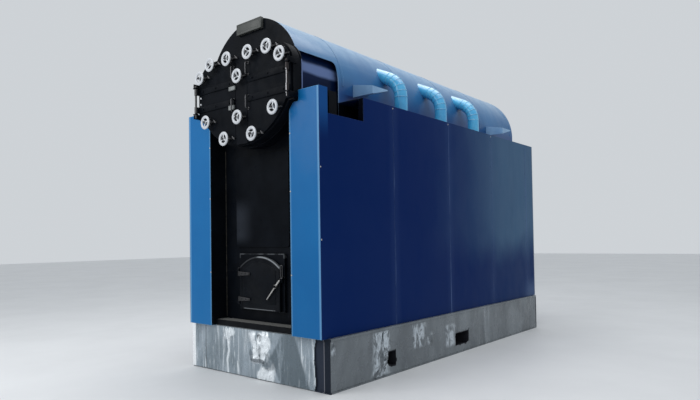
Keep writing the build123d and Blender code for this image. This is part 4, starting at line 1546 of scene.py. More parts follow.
@dataclass
class PackedNodes:
    """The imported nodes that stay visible, each with its finish."""

    finishes = {
        Shop.COLUMN: "front_columns",
        Shop.WALL: "housing_sheets side_wall_cores rear_wall_core roof_decks",
        Shop.CLADDING: "drum_cladding cladding_rear_plate",
        Shop.BRACKET: "drum_brackets",
        Shop.BOX_BACK: "smoke_box_back",
        Shop.COVER: "recess_cover",
        Shop.DRUM: "drum_shell",
        Shop.CASING: "riser_pipes",
        Shop.PLATE: "name_plate",
        Shop.WHEEL: "left_handwheels right_handwheels centre_handwheels",
        Shop.SCREW: "left_clamp_screws right_clamp_screws centre_clamp_screws",
        Shop.STEEL: "smoke_door_pins fire_door_latch",
        Shop.BEAM: "base_frame base_deck",
        Shop.PRIMER: "base_cross_members",
        Shop.SILL: "recess_sill",
        Shop.BRICK: "furnace_lining",
        Shop.IRON: "grate",
        Shop.TUBES: "tube_bundle",
        Shop.LEAF: "left_smoke_leaf right_smoke_leaf",
        Shop.DOOR: "fire_door_leaf",
        Shop.DOOR_FRAME: "fire_door_frame",
    }

    def dress(self) -> None:
        """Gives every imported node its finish."""
        chosen = {node: look for look, nodes in self.finishes.items() for node in nodes.split()}
        for name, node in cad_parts.items():
            material = chosen.get(name, Shop.BLACK).material()
            if not node.material_slots:
                node.data.materials.append(material)
            for slot in node.material_slots:
                slot.material = material


@dataclass(frozen=True)
class Group:
    """A group of handwheels with their clamps.

    Spots are distances from the middle and heights; dogs_long names the spots whose dogs are long.
    """

    name: str
    body: Body
    side: int
    spots: tuple
    dogs_long: tuple = ()


LEAF_SPOTS = ((0.675, 3.42), (0.48, 3.54), (0.178, 3.545), (0.567, 2.89), (0.235, 2.66))


@dataclass
class Handwheels:
    """White cast handwheels on their clamp screws, with the dogs that the screws press."""

    rim_middle: float = 0.0625
    rim_half_width: float = 0.0175
    hub_radius: float = 0.019
    thread_radius: float = 0.0095
    thread_steps: int = 26
    tail: float = 0.022
    reach: float = 0.065
    plane: float = FRONT - 0.14
    claw_at: float = 0.122
    claw_turn: float = 50
    long_dog: float = 0.135
    short_dog: float = 0.09
    groups: tuple = (
        Group("left", Body.LEFT_LEAF, -1, LEAF_SPOTS, (0, 1, 2, 3, 4)),
        Group("right", Body.RIGHT_LEAF, 1, LEAF_SPOTS, (1, 2, 4)),
        Group("centre", Body.BOILER, 1, ((0.0, 3.32), (0.0, 2.87))),
    )

    def rim(self) -> Piece:
        """Builds one flattened rim about the origin, facing -Y."""
        rim = ring("rim", self.rim_middle, self.rim_half_width, (0, 0, 0), (0, 1, 0), 48, 14)
        return flatten(rim, (1, 0.58, 1))

    def spider(self) -> Piece:
        """Builds one hub with its three tapered spokes about the origin.

        Returns:
            The spider.
        """
        hub = rod("hub", self.hub_radius, (0, 0.014, 0), (0, -0.012, 0))
        parts = [soften(hub, 0.003)]
        for index in range(3):
            spoke = block("spoke", (0.012, -0.005, -0.009), (0.058, 0.005, 0.009))
            taper(spoke, (1, 0.8, 0.7))
            parts.append(soften(spoke, 0.0035))
            spoke.data.transform(turn_about_y(90 + 120 * index))
        return join("spider", parts)

    def screw(self) -> Piece:
        """Builds one screw about the origin: thread, nut, collar and washer plate.

        Returns:
            The screw.
        """
        stem = rod("stem", self.thread_radius, (0, -self.tail, 0), (0, self.reach, 0), 16)
        divide(stem, Y, self.thread_steps - 1)
        pitch = (self.reach + self.tail) / self.thread_steps
        with editing(stem, Pick.CORNERS):
            pick(
                stem, lambda place, normal: round((place.y + self.tail) / pitch) % 2 == 1,
                Pick.CORNERS,
            )
            bpy.ops.transform.resize(value=(0.84, 1, 0.84), center_override=(0, 0, 0))
        nut = bolt(0.0165, (0, -0.012, 0), 0.007)
        collar = soften(rod("collar", 0.015, (0, 0.014, 0), (0, 0.024, 0), 20), 0.002)
        washer = block("washer", (-0.03, self.reach - 0.01, -0.03), (0.03, self.reach, 0.03))
        return join("screw", [stem, nut, collar, soften(washer, 0.004)])

    def dog(self, length: float) -> Piece:
        """Builds one tapered dog about the origin, with a bent toe.

        Args:
            length: How far it reaches from the screw's middle.

        Returns:
            The dog, pointing along +X.
        """
        foot = (-0.014, self.reach - 0.024, -0.012)
        dog = block("dog", foot, (length - 0.012, self.reach - 0.01, 0.012))
        with editing(dog):
            pick_ends(dog, X, 1)
            bpy.ops.transform.resize(value=(1, 1, 0.6))
            extrude((0.012, 0.009, 0))
        return soften(dog, 0.003)

    def claw(self) -> Piece:
        """Builds the bright bent tip of one long dog about the origin.

        Returns:
            The claw.
        """
        foot = (-0.026, self.reach - 0.03, -0.006)
        claw = block("claw", foot, (0.018, self.reach - 0.022, 0.006))
        with editing(claw):
            pick_ends(claw, X, 1)
            extrude((0.008, 0.01, 0.006))
            bpy.ops.transform.resize(value=(1, 0.7, 0.6))
        soften(claw, 0.002)
        claw.data.transform(Matrix.Translation((self.claw_at, 0, 0)) @ turn_about_y(self.claw_turn))
        return claw

    def clamps(self, group: Group, places: Sequence[Matrix]) -> None:
        """Builds the screws, dogs and claws of one group.

        Args:
            group: The group.
            places: Where each of its screws goes.
        """
        long = [place for index, place in enumerate(places) if index in group.dogs_long]
        short = [place for index, place in enumerate(places) if index not in group.dogs_long]
        parts = copies(self.screw(), places)
        if long:
            parts += copies(self.dog(self.long_dog), long)
            claws = copies(self.claw(), long)
            settle(f"{group.name}_dog_claws", claws, group.body, Shop.CLAW)
        if short:
            parts += copies(self.dog(self.short_dog), short)
        name, stands_for = f"{group.name}_threaded_screws", f"{group.name}_clamp_screws"
        settle(name, parts, group.body, Shop.SCREW, stands_for)

    def build(self) -> None:
        """Builds the wheels, each at a turn of its own, and the clamps of every group."""
        for group in self.groups:
            places = [
                Matrix.Translation((group.side * across, self.plane, height))
                for across, height in group.spots
            ]
            turned = [
                place @ turn_about_y(23 + 47 * index + 31 * group.side)
                for index, place in enumerate(places)
            ]
            for label, part, finish in (
                ("rims", self.rim(), Shop.WHEEL), ("spokes", self.spider(), Shop.SPIDER)
            ):
                name, stands_for = f"{group.name}_wheel_{label}", f"{group.name}_handwheels"
                wheels = copies(part, turned)
                settle(name, wheels, group.body, finish, stands_for, angle=38)
            self.clamps(group, places)


@dataclass
class RiserCasings:
    """Segmented sheet casings of the riser pipes."""

    radius: float = 0.08
    across: float = 0.965
    corner: float = 3.42
    fall: tuple[float, float] = (0.56, 0.25)
    start: float = 0.12
    bend: float = 0.28
    steps: int = 5
    deck: float = 3.05
    places: tuple = (1.6, 2.53, 3.448)
    bead: float = 0.0045
    collars: tuple = ((0.006, 0.008), (0.012, 0.005))

    def casing(self) -> Piece:
        """Builds the right-hand casing at Y = 0, with beads at its joints.

        Returns:
            The casing.
        """
        root = Vector((self.across - self.fall[0], 0, self.corner + self.fall[1]))
        knee = Vector((self.across, 0, self.corner))
        foot = Vector((self.across, 0, self.deck))
        slope = (knee - root).normalized()
        path = (root + slope * self.start, knee, foot)
        parts = [bent_rod("casing", self.radius, path, self.bend, self.steps, 32)]
        turn = slope.angle(foot - knee)
        ahead = self.bend * math.tan(turn / 2)
        middle = Vector((self.across - self.bend, 0, self.corner - ahead))
        for step in range(self.steps + 1):
            angle = turn * (1 - step / self.steps)
            spot = middle + Vector((math.cos(angle), 0, math.sin(angle))) * self.bend
            along = (math.sin(angle), 0, -math.cos(angle))
            parts.append(ring("bead", self.radius, self.bead, spot, along))
        for rise, thick in self.collars:
            spot = (self.across, 0, self.deck + rise)
            parts.append(ring("foot", self.radius + 0.004, thick, spot, (0, 0, 1)))
        return join("casing", parts)

    def build(self) -> None:
        """Builds all six casings."""
        right = [Matrix.Translation((0, FRONT + place, 0)) for place in self.places]
        casings = copies(self.casing(), right + [place @ HALF_TURN for place in right])
        settle("riser_casings", casings, Body.BOILER, Shop.CASING, "riser_pipes", angle=24)


@dataclass
class FireDoor:
    """Arched fire door with its border, straps, keeper and latch."""

    left: float = -0.325
    right: float = 0.335
    bottom: float = 0.745
    shoulder: float = 1.225
    apex: float = 1.345
    face: float = FRONT + 0.15
    thickness: float = 0.032
    border: tuple[float, float] = (0.024, 0.006)
    panel_margin: float = 0.07
    pin: tuple[float, float] = (-0.352, FRONT + 0.16)
    pin_heads: tuple[float, float] = (1.206, 0.794)
    strap_heights: tuple[float, float] = (1.145, 0.855)
    strap_length: float = 0.2
    strap_half: float = 0.0275
    strap_thickness: float = 0.01
    strap_bolts: tuple = (0.3, 0.62, 0.9)
    knuckle_radius: float = 0.017
    knuckle_wall: float = 0.0072
    pivot: tuple[float, float] = (0.285, 1.02)
    stud_end: float = 0.03
    hub_radius: float = 0.02
    hub_wall: float = 0.0112
    hub_depths: tuple[float, float] = (0.028, 0.006)
    hub_clear: float = 0.012
    bars: tuple = ((-0.14, -0.15, 0.016, 0.014), (0.072, 0.072, 0.022, 0.018))

    def arched(self, name: str, front: float, back: float, margin: float) -> Piece:
        """Builds an arched plate inside the door's outline.

        Args:
            name: Name of the plate.
            front: How far its front lies behind the door's face.
            back: How far its back does.
            margin: How far it stays inside the outline.

        Returns:
            The plate.
        """
        half = (self.right - self.left) / 2
        rise = self.apex - self.shoulder
        radius = (half**2 + rise**2) / (2 * rise)
        middle = (self.left + self.right) / 2
        tail, head = ((middle, self.face + y, self.apex - radius) for y in (front, back))
        plate = rod(name, radius - margin, tail, head, 150)
        bisect(plate, (self.left + margin, 0, 0), (-1, 0, 0))
        bisect(plate, (self.right - margin, 0, 0), (1, 0, 0))
        bisect(plate, (0, 0, self.bottom + margin), (0, 0, -1))
        with editing(plate):
            bpy.ops.mesh.select_all(action="SELECT")
            bpy.ops.mesh.remove_doubles(threshold=0.004)
        return plate

    def leaf(self) -> None:
        """Builds the arched leaf with a raised border, a stiffening panel and the stud."""
        leaf = self.arched("leaf", 0, self.thickness, 0)
        width, depth = self.border
        cut = self.arched("cut", -0.01, depth, width)
        apply(leaf, "BOOLEAN", operation="DIFFERENCE", object=cut, solver="EXACT")
        bpy.data.objects.remove(cut)
        soften(leaf, 0.0025, 2, 30)
        panel = soften(self.arched("panel", 0.003, 0.012, self.panel_margin), 0.002, 2, 30)
        across, height = self.pivot
        tip = (across, self.face - self.stud_end, height)
        stud = rod("stud", 0.008, (across, self.face + 0.01, height), tip, 20)
        parts = [leaf, panel, stud, bolt(0.016, tip, 0.008)]
        settle("arched_door_leaf", parts, Body.FIRE_DOOR, Shop.DOOR, "fire_door_leaf")

    def straps(self) -> None:
        """Builds the strap hinges with their knuckles and bolts."""
        parts = []
        across, front = self.pin[X], self.face - self.strap_thickness
        for height in self.strap_heights:
            low, high = height - self.strap_half, height + self.strap_half
            end = (across + self.strap_length, self.face, high)
            strap = block("strap", (across, front, low), end)
            taper(strap, (1, 1, 0.5))
            knuckle = post("knuckle", self.knuckle_radius, self.pin, low, high)
            parts += [soften(strap, 0.003), bore(knuckle, Z, self.knuckle_wall)]
            for share in self.strap_bolts:
                spot = (across + self.strap_length * share, front, height)
                parts.append(bolt(0.009, spot, 0.007))
        settle("door_strap_hinges", parts, Body.FIRE_DOOR, Shop.SCREW, "fire_door_straps")

    def latch(self) -> None:
        """Builds the hanging lever with its hub, grip and tongue."""
        across, height = self.pivot
        front, back = (self.face - depth for depth in self.hub_depths)
        ends = (across, front, height), (across, back, height)
        parts = [bore(rod("hub", self.hub_radius, *ends, 28), Y, self.hub_wall)]
        for reach, drop, wide, thick in self.bars:
            run = Vector((reach, 0, drop))
            end = (run.length - self.hub_clear, thick / 2, wide / 2)
            bar = block("bar", (0, -thick / 2, -wide / 2), end)
            taper(bar, (1, 1, 0.72))
            parts.append(soften(bar, 0.004, 3))
            hub = Vector((across, (front + back) / 2, height))
            spot = hub + run.normalized() * self.hub_clear
            turn = math.degrees(math.atan2(-drop, reach))
            bar.data.transform(Matrix.Translation(spot) @ turn_about_y(turn))
        settle("latch_lever", parts, Body.LATCH, Shop.STEEL, "fire_door_latch")

    def keeper(self) -> None:
        """Builds the bright keeper loop and the door's pin heads on the frame."""
        back, out, foot, top = FRONT + 0.188, FRONT + 0.152, 1.122, 1.25
        left, right = 0.349, 0.377
        path = (
            (left, back, foot), (left, out, foot), (left, out, top),
            (right, out, top), (right, out, foot), (right, back, foot),
        )
        loop = bent_rod("loop", 0.0045, path, 0.008, 4, 12)
        hook = block("hook", (0.343, out - 0.004, 1.108), (0.378, out + 0.006, 1.117))
        with editing(hook):
            pick_ends(hook, X, -1)
            extrude((-0.004, 0, -0.01))
        parts = [loop, soften(hook, 0.002)]
        for height in self.pin_heads:
            head = post("pin_head", 0.013, self.pin, height, height + 0.006, 20)
            parts.append(soften(head, 0.002))
        settle("door_keeper_loop", parts, Body.BOILER, Shop.CLAW)

    def build(self) -> None:
        """Builds the door's pieces."""
        self.leaf()
        self.straps()
        self.latch()
        self.keeper()


@dataclass
class SmokeDoorFittings:
    """Straps, knuckles, pull handles, pins and clamp pads of the smoke door leaves."""

    inner: float = 0.113
    strap_heights: tuple[float, float] = (3.275, 3.065)
    strap_half: float = 0.035
    strap_front: float = LEAF_FACE - 0.012
    arm_width: float = 0.026
    strap_bolts: tuple = (0.12, 0.5, 0.86)
    knuckle_radius: float = 0.018
    knuckle_wall: float = 0.0052
    handle_x: float = 0.122
    handle_out: float = 0.042
    handle_radius: float = 0.007
    handles: tuple = ((3.32, 3.46), (2.95, 3.1))
    pin_radius: float = 0.012
    pin_ends: tuple[float, float] = (2.97, 3.35)
    pin_head: tuple[float, float] = (0.019, 0.01)
    pin_heads: tuple = (3.33, 2.999)
    ear_inner: float = 0.744
    ear_outer: float = 0.802
    ear_half: float = 0.019
    ear_arm: tuple[float, float] = (0.79, 0.012)
    ears: tuple = ((3.316, 3.33, 3.316, 3.376), (3.009, 3.023, 2.963, 3.023))
    pad_height: float = 0.02
    pad_corners: tuple = (
        (-0.195, -0.09, 3.195, 3.238), (-0.2, -0.15, 2.98, 3.028), (-0.14, -0.108, 2.98, 3.028),
    )
    bolt_radius: float = 0.012
    edge_bolts: tuple = ((-0.727, LEAF_FACE, 3.203), (-0.727, LEAF_FACE, 3.13))

    def straps(self, side: int) -> list[Piece]:
        """Builds the two straps of one leaf with their arms and bolts.

        Args:
            side: -1 for the left leaf, 1 for the right leaf.

        Returns:
            The straps, arms and bolts.
        """
        parts = []
        for height in self.strap_heights:
            low, high = height - self.strap_half, height + self.strap_half
            start, end = (side * self.inner, self.strap_front, low), side * HINGE[X]
            strap = block("strap", start, (end, LEAF_FACE, high))
            near = end - side * self.arm_width
            arm = block("arm", (near, HINGE[Y], low), (end, LEAF_FACE, high))
            parts += [soften(part, 0.0025) for part in (strap, arm)]
            for share in self.strap_bolts:
                across = side * (self.inner + share * (HINGE[X] - self.inner))
                seat = (across, self.strap_front, height)
                parts.append(bolt(self.bolt_radius, seat, 0.009, 0.002))
        return parts

    def knuckles(self, side: int) -> list[Piece]:
        """Builds the leaf's knuckles as hollow sleeves round the pin.

        Args:
            side: -1 for the left leaf, 1 for the right leaf.

        Returns:
            The knuckles.
        """
        spot, half = (side * HINGE[X], HINGE[Y]), self.strap_half
        sleeves = [
            post("knuckle", self.knuckle_radius, spot, height - half, height + half)
            for height in self.strap_heights
        ]
        return [bore(sleeve, Z, self.knuckle_wall) for sleeve in sleeves]

    def pulls(self, side: int) -> list[Piece]:
        """Builds the bent pull handles with their feet.

        Args:
            side: -1 for the left leaf, 1 for the right leaf.

        Returns:
            The handles and feet.
        """
        parts = []
        across, out = side * self.handle_x, LEAF_FACE - self.handle_out
        radius = self.handle_radius
        for low, high in self.handles:
            feet = [(across, LEAF_FACE, height) for height in (low + radius, high - radius)]
            corners = [(across, out, foot[Z]) for foot in feet]
            path = (feet[0], *corners, feet[1])
            parts.append(bent_rod("pull", radius, path, 0.012, 5, 14))
            for foot in feet:
                parts.append(rod("pad", 0.013, foot, (across, LEAF_FACE - 0.004, foot[Z]), 18))
        return parts

    def pins(self) -> None:
        """Builds the hinge pins and, as a piece of its own, their ears."""
        for name, side, finish in (("left", -1, Shop.DARK_PIN), ("right", 1, Shop.PIN)):
            spot = (side * HINGE[X], HINGE[Y])
            wide, thick = self.pin_head
            rods = [post("pin", self.pin_radius, spot, *self.pin_ends)]
            rods += [post("head", wide, spot, low, low + thick) for low in self.pin_heads]
            for part in rods:
                soften(part, 0.002)
            stands_for = "smoke_door_pins"
            settle(f"{name}_hinge_pin", rods, Body.BOILER, finish, stands_for, angle=38)
        blocks = []
        arm_inner, arm_half = self.ear_arm
        for side in (-1, 1):
            outer = side * self.ear_outer
            for low, high, arm_low, arm_high in self.ears:
                start = (side * self.ear_inner, HINGE[Y] - self.ear_half, low)
                blocks.append(block("ear", start, (outer, HINGE[Y] + self.ear_half, high)))
                start = (side * arm_inner, HINGE[Y] - arm_half, arm_low)
                blocks.append(block("arm", start, (outer, FRONT - 0.006, arm_high)))
        ears = [soften(part, 0.003) for part in blocks]
        settle("hinge_ears", ears, Body.BOILER, Shop.BLACK, "smoke_door_pins", angle=38)

    def pads(self) -> None:
        """Builds the pale clamp pads and the pale bolts of the left leaf."""
        pads = []
        for low_x, high_x, low_z, high_z in self.pad_corners:
            front = LEAF_FACE - self.pad_height
            pad = block("pad", (low_x, front, low_z), (high_x, LEAF_FACE, high_z))
            step_in(pad, ((0.006, 0), (0.001, -0.003)))
            pads.append(soften(pad, 0.002))
        settle("left_leaf_pads", pads, Body.LEFT_LEAF, Shop.PAD)
        heads = [bolt(self.bolt_radius, seat, 0.01, 0.002, 2) for seat in self.edge_bolts]
        settle("left_leaf_bolts", heads, Body.LEFT_LEAF, Shop.WHEEL)

    def build(self) -> None:
        """Builds the fittings of both leaves and the fixed pins."""
        for name, body, side, tint in (
            ("left", Body.LEFT_LEAF, -1, Shop.DARK_PIN), ("right", Body.RIGHT_LEAF, 1, Shop.PIN)
        ):
            stands_for = f"{name}_leaf_fittings"
            settle(f"{name}_leaf_straps", self.straps(side), body, Shop.BLACK, stands_for)
            settle(f"{name}_leaf_knuckles", self.knuckles(side), body, tint, stands_for)
            pulls = self.pulls(side)
            settle(f"{name}_pull_handles", pulls, body, Shop.CLAW, stands_for, angle=40)
        self.pins()
        self.pads()


@dataclass
class NamePlate:
    """The blank plate box over the smoke box."""

    low: Point = (-0.205, FRONT + 0.035, 3.855)
    high: Point = (0.205, FRONT + 0.075, 3.975)

    def build(self) -> None:
        """Builds the box with a raised rim round a bare field."""
        plate = block("plate", self.low, self.high)
        step_in(plate, ((0.01, 0), (0.002, -0.003), (0.014, 0), (0.001, 0.0015)))
        soften(plate, 0.002, 2, 30)
        settle("blank_name_plate", [plate], Body.BOILER, Shop.PLATE, "name_plate")


@dataclass
class CladdingBands:
    """Joint bands of the arched cladding."""

    radius: float = 0.745
    axis: float = 3.25
    places: tuple = (0.77, 1.95, 3.05, 4.10, 5.22)
    width: float = 0.035
    proud: float = 0.0025
    thickness: float = 0.005

    def build(self) -> None:
        """Builds thin half-round bands over the cladding joints."""
        bands = []
        for place in self.places:
            tail, head = (
                (0, FRONT + place + side * self.width / 2, self.axis) for side in (-1, 1)
            )
            band = rod("band", self.radius + self.proud, tail, head, 128)
            bisect(bore(band, Y, self.thickness), (0, 0, self.axis), (0, 0, -1))
            bands.append(band)
        settle("cladding_bands", bands, Body.BOILER, Shop.CLADDING)


@dataclass
class Rivets:
    """Small fasteners along the sheet seams and the column edges."""

    radius: float = 0.0085
    wall: float = 1.09
    column: float = 0.675
    beside_seam: float = 0.016
    rows: int = 7
    lowest: float = 0.62
    spacing: float = 0.39
    top: float = 3.022
    column_heights: tuple = (1.16, 2.02, 2.62)
    corner_heights: tuple = (1.52, 2.24)
    from_corner: float = 0.012

    def head(self) -> Piece:
        """Builds one domed head about the origin, facing +X.

        Returns:
            The head.
        """
        head = add(Start.DOME, "head", segments=10, ring_count=6, radius=self.radius)
        bisect(flatten(head, (0.5, 1, 1)), (-0.0005, 0, 0), (-1, 0, 0))
        return head

    def pair(self, along: float, height: float) -> list[Matrix]:
        """Gives the places of one head on each wall, at the same length and height."""
        right = Matrix.Translation((self.wall, along, height))
        return [right, HALF_TURN @ Matrix.Translation((self.wall, -along, height))]

    def build(self) -> None:
        """Builds the painted heads on the walls and the bright ones at the columns."""
        painted = []
        for seam in SEAMS:
            for row in range(self.rows):
                painted += self.pair(seam - self.beside_seam, self.lowest + row * self.spacing)
        bright = []
        for seam in SEAMS[:3]:
            bright += self.pair(seam, self.top)
        for height in self.column_heights:
            for side in (1, -1):
                spot = Matrix.Translation((side * self.column, FRONT, height))
                bright.append(spot @ Matrix.Rotation(-math.pi / 2, 4, "Z"))
        for height in self.corner_heights:
            bright += self.pair(FRONT + self.from_corner, height)
        for name, finish, places in (
            ("seam_rivets", Shop.WALL, painted), ("bright_screw_heads", Shop.STEEL, bright)
        ):
            settle(name, copies(self.head(), places), Body.BOILER, finish, angle=60)


@dataclass
class RecessBead:
    """The sealant bead in the recess's left corner."""

    radius: float = 0.0048
    spot: tuple[float, float] = (-0.6565, -2.4335)
    low: float = 0.62
    high: float = 2.6

    def build(self) -> None:
        """Builds the bead, uneven as if run by hand."""
        bead = post("bead", self.radius, self.spot, self.low, self.high, 12)
        divide(bead, Z, 120)
        crease(bead, "bead_lumps", "CLOUDS", 0.05, 0.003, depth=2)
        settle("recess_corner_bead", [bead], Body.BOILER, Shop.BEAD, angle=60)


@dataclass
class BaseWrap:
    """Silver film wrapped round the base, torn open at the pockets and one corner."""

    half: float = 1.13
    end: float = 2.58
    low: float = 0.012
    high: float = 0.532
    channel: tuple[float, float] = (0.018, 0.51)
    torn: float = 0.93
    lip: float = 0.03
    clear: float = 0.008
    closest: float = 0.0015
    skin: float = 0.0012
    side_clear: float = 0.0052
    side_range: tuple[float, float] = (0.0007, 0.0092)
    side_skin: float = 0.0009
    pockets: tuple = ((-1.62, -1.47), (-0.12, 0.245))
    pocket_heights: tuple[float, float] = (0.1, 0.285)
    ragged: float = 0.03

    def strip(self, name: str, size: tuple[float, float], cuts: tuple[int, int], ripple: float,
              seed: float) -> Piece:
        """Builds a creased strip of film about the origin, facing -Y.

        Args:
            name: Name of the strip.
            size: Its length and height.
            cuts: Divisions along each.
            ripple: How far its creases stand out.
            seed: Shifts the crease pattern.

        Returns:
            The strip, one skin thick.
        """
        strip = add(
            Start.GRID, name, x_subdivisions=cuts[0], y_subdivisions=cuts[1], size=1,
            rotation=(math.pi / 2, 0, 0),
        )
        strip.data.transform(Matrix.Diagonal((size[0], 1, size[1], 1)))
        squeezed = Matrix.Translation((seed, 0, 0)) @ Matrix.Diagonal((1, 1, 0.4, 1))
        strip.data.transform(squeezed)
        crease(strip, f"{name}_folds", "CLOUDS", 0.16, ripple)
        strip.data.transform(squeezed.inverted())
        return strip

    def crush(self, strip: Piece, crushes: Sequence[Crush], axis: int, ripple: float,
              grain: float) -> None:
        """Crumples a placed strip where its film is crushed.

        Args:
            strip: The strip, at its place.
            crushes: The crushed stretches.
            axis: The axis that they are placed along.
            ripple: How far the film moves.
            grain: Size of the facets.
        """
        group = strip.vertex_groups.new(name="crushed")
        for corner in strip.data.vertices:
            weight = max(crush.weight(corner.co[axis], corner.co.z) for crush in crushes)
            if weight > 0:
                group.add([corner.index], weight, "REPLACE")
        name = strip.name
        crease(strip, f"{name}_facets", "VORONOI", grain, ripple, "crushed")
        crease(strip, f"{name}_crumples", "CLOUDS", grain * 0.55, ripple * 0.8, "crushed")

    def limit(self, strip: Piece, axis: int, at: float, sign: int) -> None:
        """Flattens what would pass a plane back on to it.

        Args:
            strip: The strip, at its place.
            axis: The axis that the plane lies across.
            at: Where the plane is.
            sign: 1 if nothing may be above it, -1 if nothing may be below it.
        """
        size, centre = [1.0, 1.0, 1.0], [0.0, 0.0, 0.0]
        size[axis], centre[axis] = 0.0, at
        with editing(strip, Pick.CORNERS):
            pick(
                strip, lambda place, normal: (place[axis] - at) * sign > 0, Pick.CORNERS
            )
            bpy.ops.transform.resize(value=size, center_override=centre)

    def tear(self, strip: Piece, hole: Callable[[Vector], bool], thick: float,
             finish: Finish) -> None:
        """Tears a strip open, gives it its thickness and settles it.

        Args:
            strip: The strip, at its place.
            hole: Tells where the film is torn away.
            thick: Thickness of the film.
            finish: Its finish.
        """
        with editing(strip):
            pick(strip, lambda place, normal: hole(place))
            bpy.ops.mesh.delete(type="FACE")
        apply(strip, "SOLIDIFY", thickness=thick, offset=0)
        settle(strip.name, [strip], Body.BOILER, finish, angle=60)

    def wander(self, place: Vector, scale: float) -> float:
        """Gives how far a torn edge wanders at a place."""
        return self.ragged * noise.noise(place * scale)

    def front(self) -> None:
        """Builds the front film, crushed in its middle and torn off short of the corner."""
        reach = self.torn + self.lip
        size = (self.half + reach, self.high - self.low)
        strip = self.strip("front_film", size, (230, 58), 0.014, 3.0)
        centre = ((reach - self.half) / 2, -self.end - self.clear, (self.low + self.high) / 2)
        strip.data.transform(Matrix.Translation(centre))
        self.crush(strip, FRONT_CRUSHES, X, 0.03, 0.09)
        self.limit(strip, Y, -self.end - self.closest, 1)
        self.tear(
            strip, lambda place: place.x > self.torn + self.wander(place, 9), self.skin, Shop.FILM
        )

    def rear(self) -> None:
        """Builds the rear film, plain and whole."""
        size = (2 * self.half, self.high - self.low)
        strip = self.strip("rear_film", size, (160, 36), 0.012, 9.0)
        centre = (0, self.end + self.clear, (self.low + self.high) / 2)
        strip.data.transform(Matrix.Translation(centre) @ HALF_TURN)
        self.limit(strip, Y, self.end + self.closest, -1)
        self.tear(strip, lambda place: False, self.skin, Shop.SIDE_FILM)

    def hole(self, place: Vector) -> bool:
        """Tells where a side's film is torn away at the pockets.

        Args:
            place: The middle of a face.

        Returns:
            Whether it is torn away.
        """
        wander = self.wander(place, 16)
        low, high = self.pocket_heights
        if not low + wander < place.z < high + wander:
            return False
        return any(start + wander < place.y < stop + wander * 0.5 for start, stop in self.pockets)

    def side(self, name: str, sign: int) -> None:
        """Builds the film in one long beam's channel, torn open at the fork pockets.

        Args:
            name: Name of the side.
            sign: 1 for the right, -1 for the left.
        """
        low, high = self.channel
        size = (2 * self.end - 0.02, high - low)
        strip = self.strip(f"{name}_film", size, (340, 34), 0.006, 5.0)
        centre = (sign * (self.half - self.side_clear), 0, (low + high) / 2)
        strip.data.transform(
            Matrix.Translation(centre) @ Matrix.Rotation(sign * math.pi / 2, 4, "Z")
        )
        self.crush(strip, SIDE_CRUSHES, Y, 0.008, 0.055)
        for depth, way in zip(self.side_range, (sign, -sign)):
            self.limit(strip, X, sign * (self.half - depth), way)
        self.tear(strip, self.hole, self.side_skin, Shop.SIDE_FILM)

    def build(self) -> None:
        """Builds the film on the four sides."""
        self.front()
        self.rear()
        self.side("right", 1)
        self.side("left", -1)


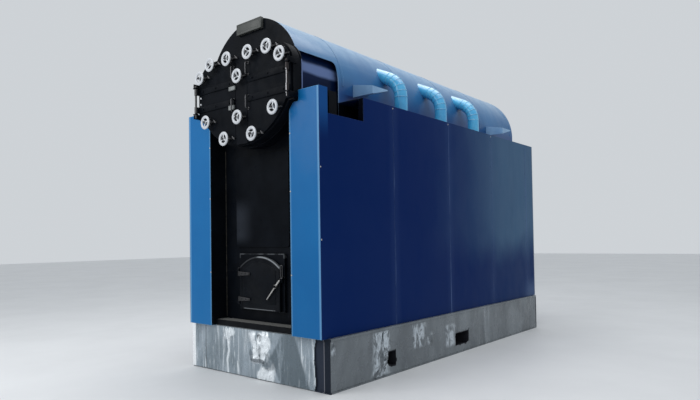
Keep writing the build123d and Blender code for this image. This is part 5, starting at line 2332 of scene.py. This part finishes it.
class Studio:
    """Floor, light and camera."""

    lamps = (
        ("front_softbox", (-2.5, -8.5, 5.5), (0, -1, 1.8), 5.0, 260),
        ("top_softbox", (0.5, -0.5, 8.5), (0, 0.3, 2), 6.0, 300),
    )
    heading = math.radians(39.45)
    tilt = math.radians(1.39)
    roll = math.radians(-0.86)
    viewpoint = (4.893, -6.741, 1.515)
    sensor = 36
    lens = 29.28
    shift = (-0.0071, 0.0371)

    def floor(self) -> None:
        """Lays a plain pale floor under the object."""
        floor = add(Start.GRID, "pale_floor", x_subdivisions=4, y_subdivisions=4, size=90)
        sheet = NodeSheet("pale_floor_paint")
        patch = sheet.noise(0.6, 4).ramp(0.3, 0.7)
        sheet.set(
            Base_Color=sheet.blend(patch, (0.7, 0.71, 0.72), (0.74, 0.75, 0.76)),
            Roughness=sheet.noise(3, 4).ramp(0.3, 0.7, 0.5, 0.62),
        )
        floor.data.materials.append(sheet.material)

    def lights(self) -> None:
        """Sets soft lamps and a pale surround."""
        world = bpy.data.worlds.new("pale_surround")
        bpy.context.scene.world = world
        world.use_nodes = True
        tree = world.node_tree
        tree.nodes.clear()
        output = tree.nodes.new("ShaderNodeOutputWorld")
        background = tree.nodes.new("ShaderNodeBackground")
        background.inputs["Color"].default_value = (0.82, 0.86, 0.9, 1)
        background.inputs["Strength"].default_value = 0.75
        tree.links.new(background.outputs[0], output.inputs["Surface"])
        for name, place, target, size, power in self.lamps:
            data = bpy.data.lights.new(name, "AREA")
            data.shape = "SQUARE"
            data.size = size
            data.energy = power
            turn = (Vector(target) - Vector(place)).to_track_quat("-Z", "Y")
            self.place(name, data, place, turn.to_matrix().to_4x4())

    def place(self, name: str, data: bpy.types.ID, spot: Point, turn: Matrix) -> Piece:
        """Puts a lamp or a camera at its spot.

        Args:
            name: Its name.
            data: The lamp or the camera.
            spot: Where it goes.
            turn: Where it looks.

        Returns:
            The object.
        """
        made = bpy.data.objects.new(name, data)
        bpy.context.scene.collection.objects.link(made)
        made.matrix_world = Matrix.Translation(spot) @ turn
        return made

    def camera(self) -> None:
        """Sets the camera at the photograph's viewpoint."""
        level = Vector((-math.sin(self.heading), math.cos(self.heading), 0))
        ahead = level * math.cos(self.tilt) + Vector((0, 0, math.sin(self.tilt)))
        right = Vector((math.cos(self.heading), math.sin(self.heading), 0))
        up = right.cross(ahead)
        turned_right = right * math.cos(self.roll) + up * math.sin(self.roll)
        turned_up = up * math.cos(self.roll) - right * math.sin(self.roll)
        data = bpy.data.cameras.new("view_camera")
        data.sensor_fit = "HORIZONTAL"
        data.sensor_width = self.sensor
        data.lens = self.lens
        data.shift_x, data.shift_y = self.shift
        turn = Matrix((turned_right, turned_up, -ahead)).transposed().to_4x4()
        bpy.context.scene.camera = self.place("view_camera", data, self.viewpoint, turn)

    def build(self) -> None:
        """Sets up the whole studio."""
        bpy.context.scene.view_settings.view_transform = "Standard"
        self.floor()
        self.lights()
        self.camera()


def main() -> None:
    """Builds every piece in order."""
    logging.basicConfig(level=logging.INFO, format="%(message)s")
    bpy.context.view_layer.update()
    Studio().build()
    PackedNodes().dress()
    for part in (
        Handwheels(), RiserCasings(), FireDoor(), SmokeDoorFittings(), NamePlate(),
        CladdingBands(), Rivets(), RecessBead(), BaseWrap(),
    ):
        LOG.info("building %s", type(part).__name__)
        part.build()


if __name__ == "__main__":
    main()
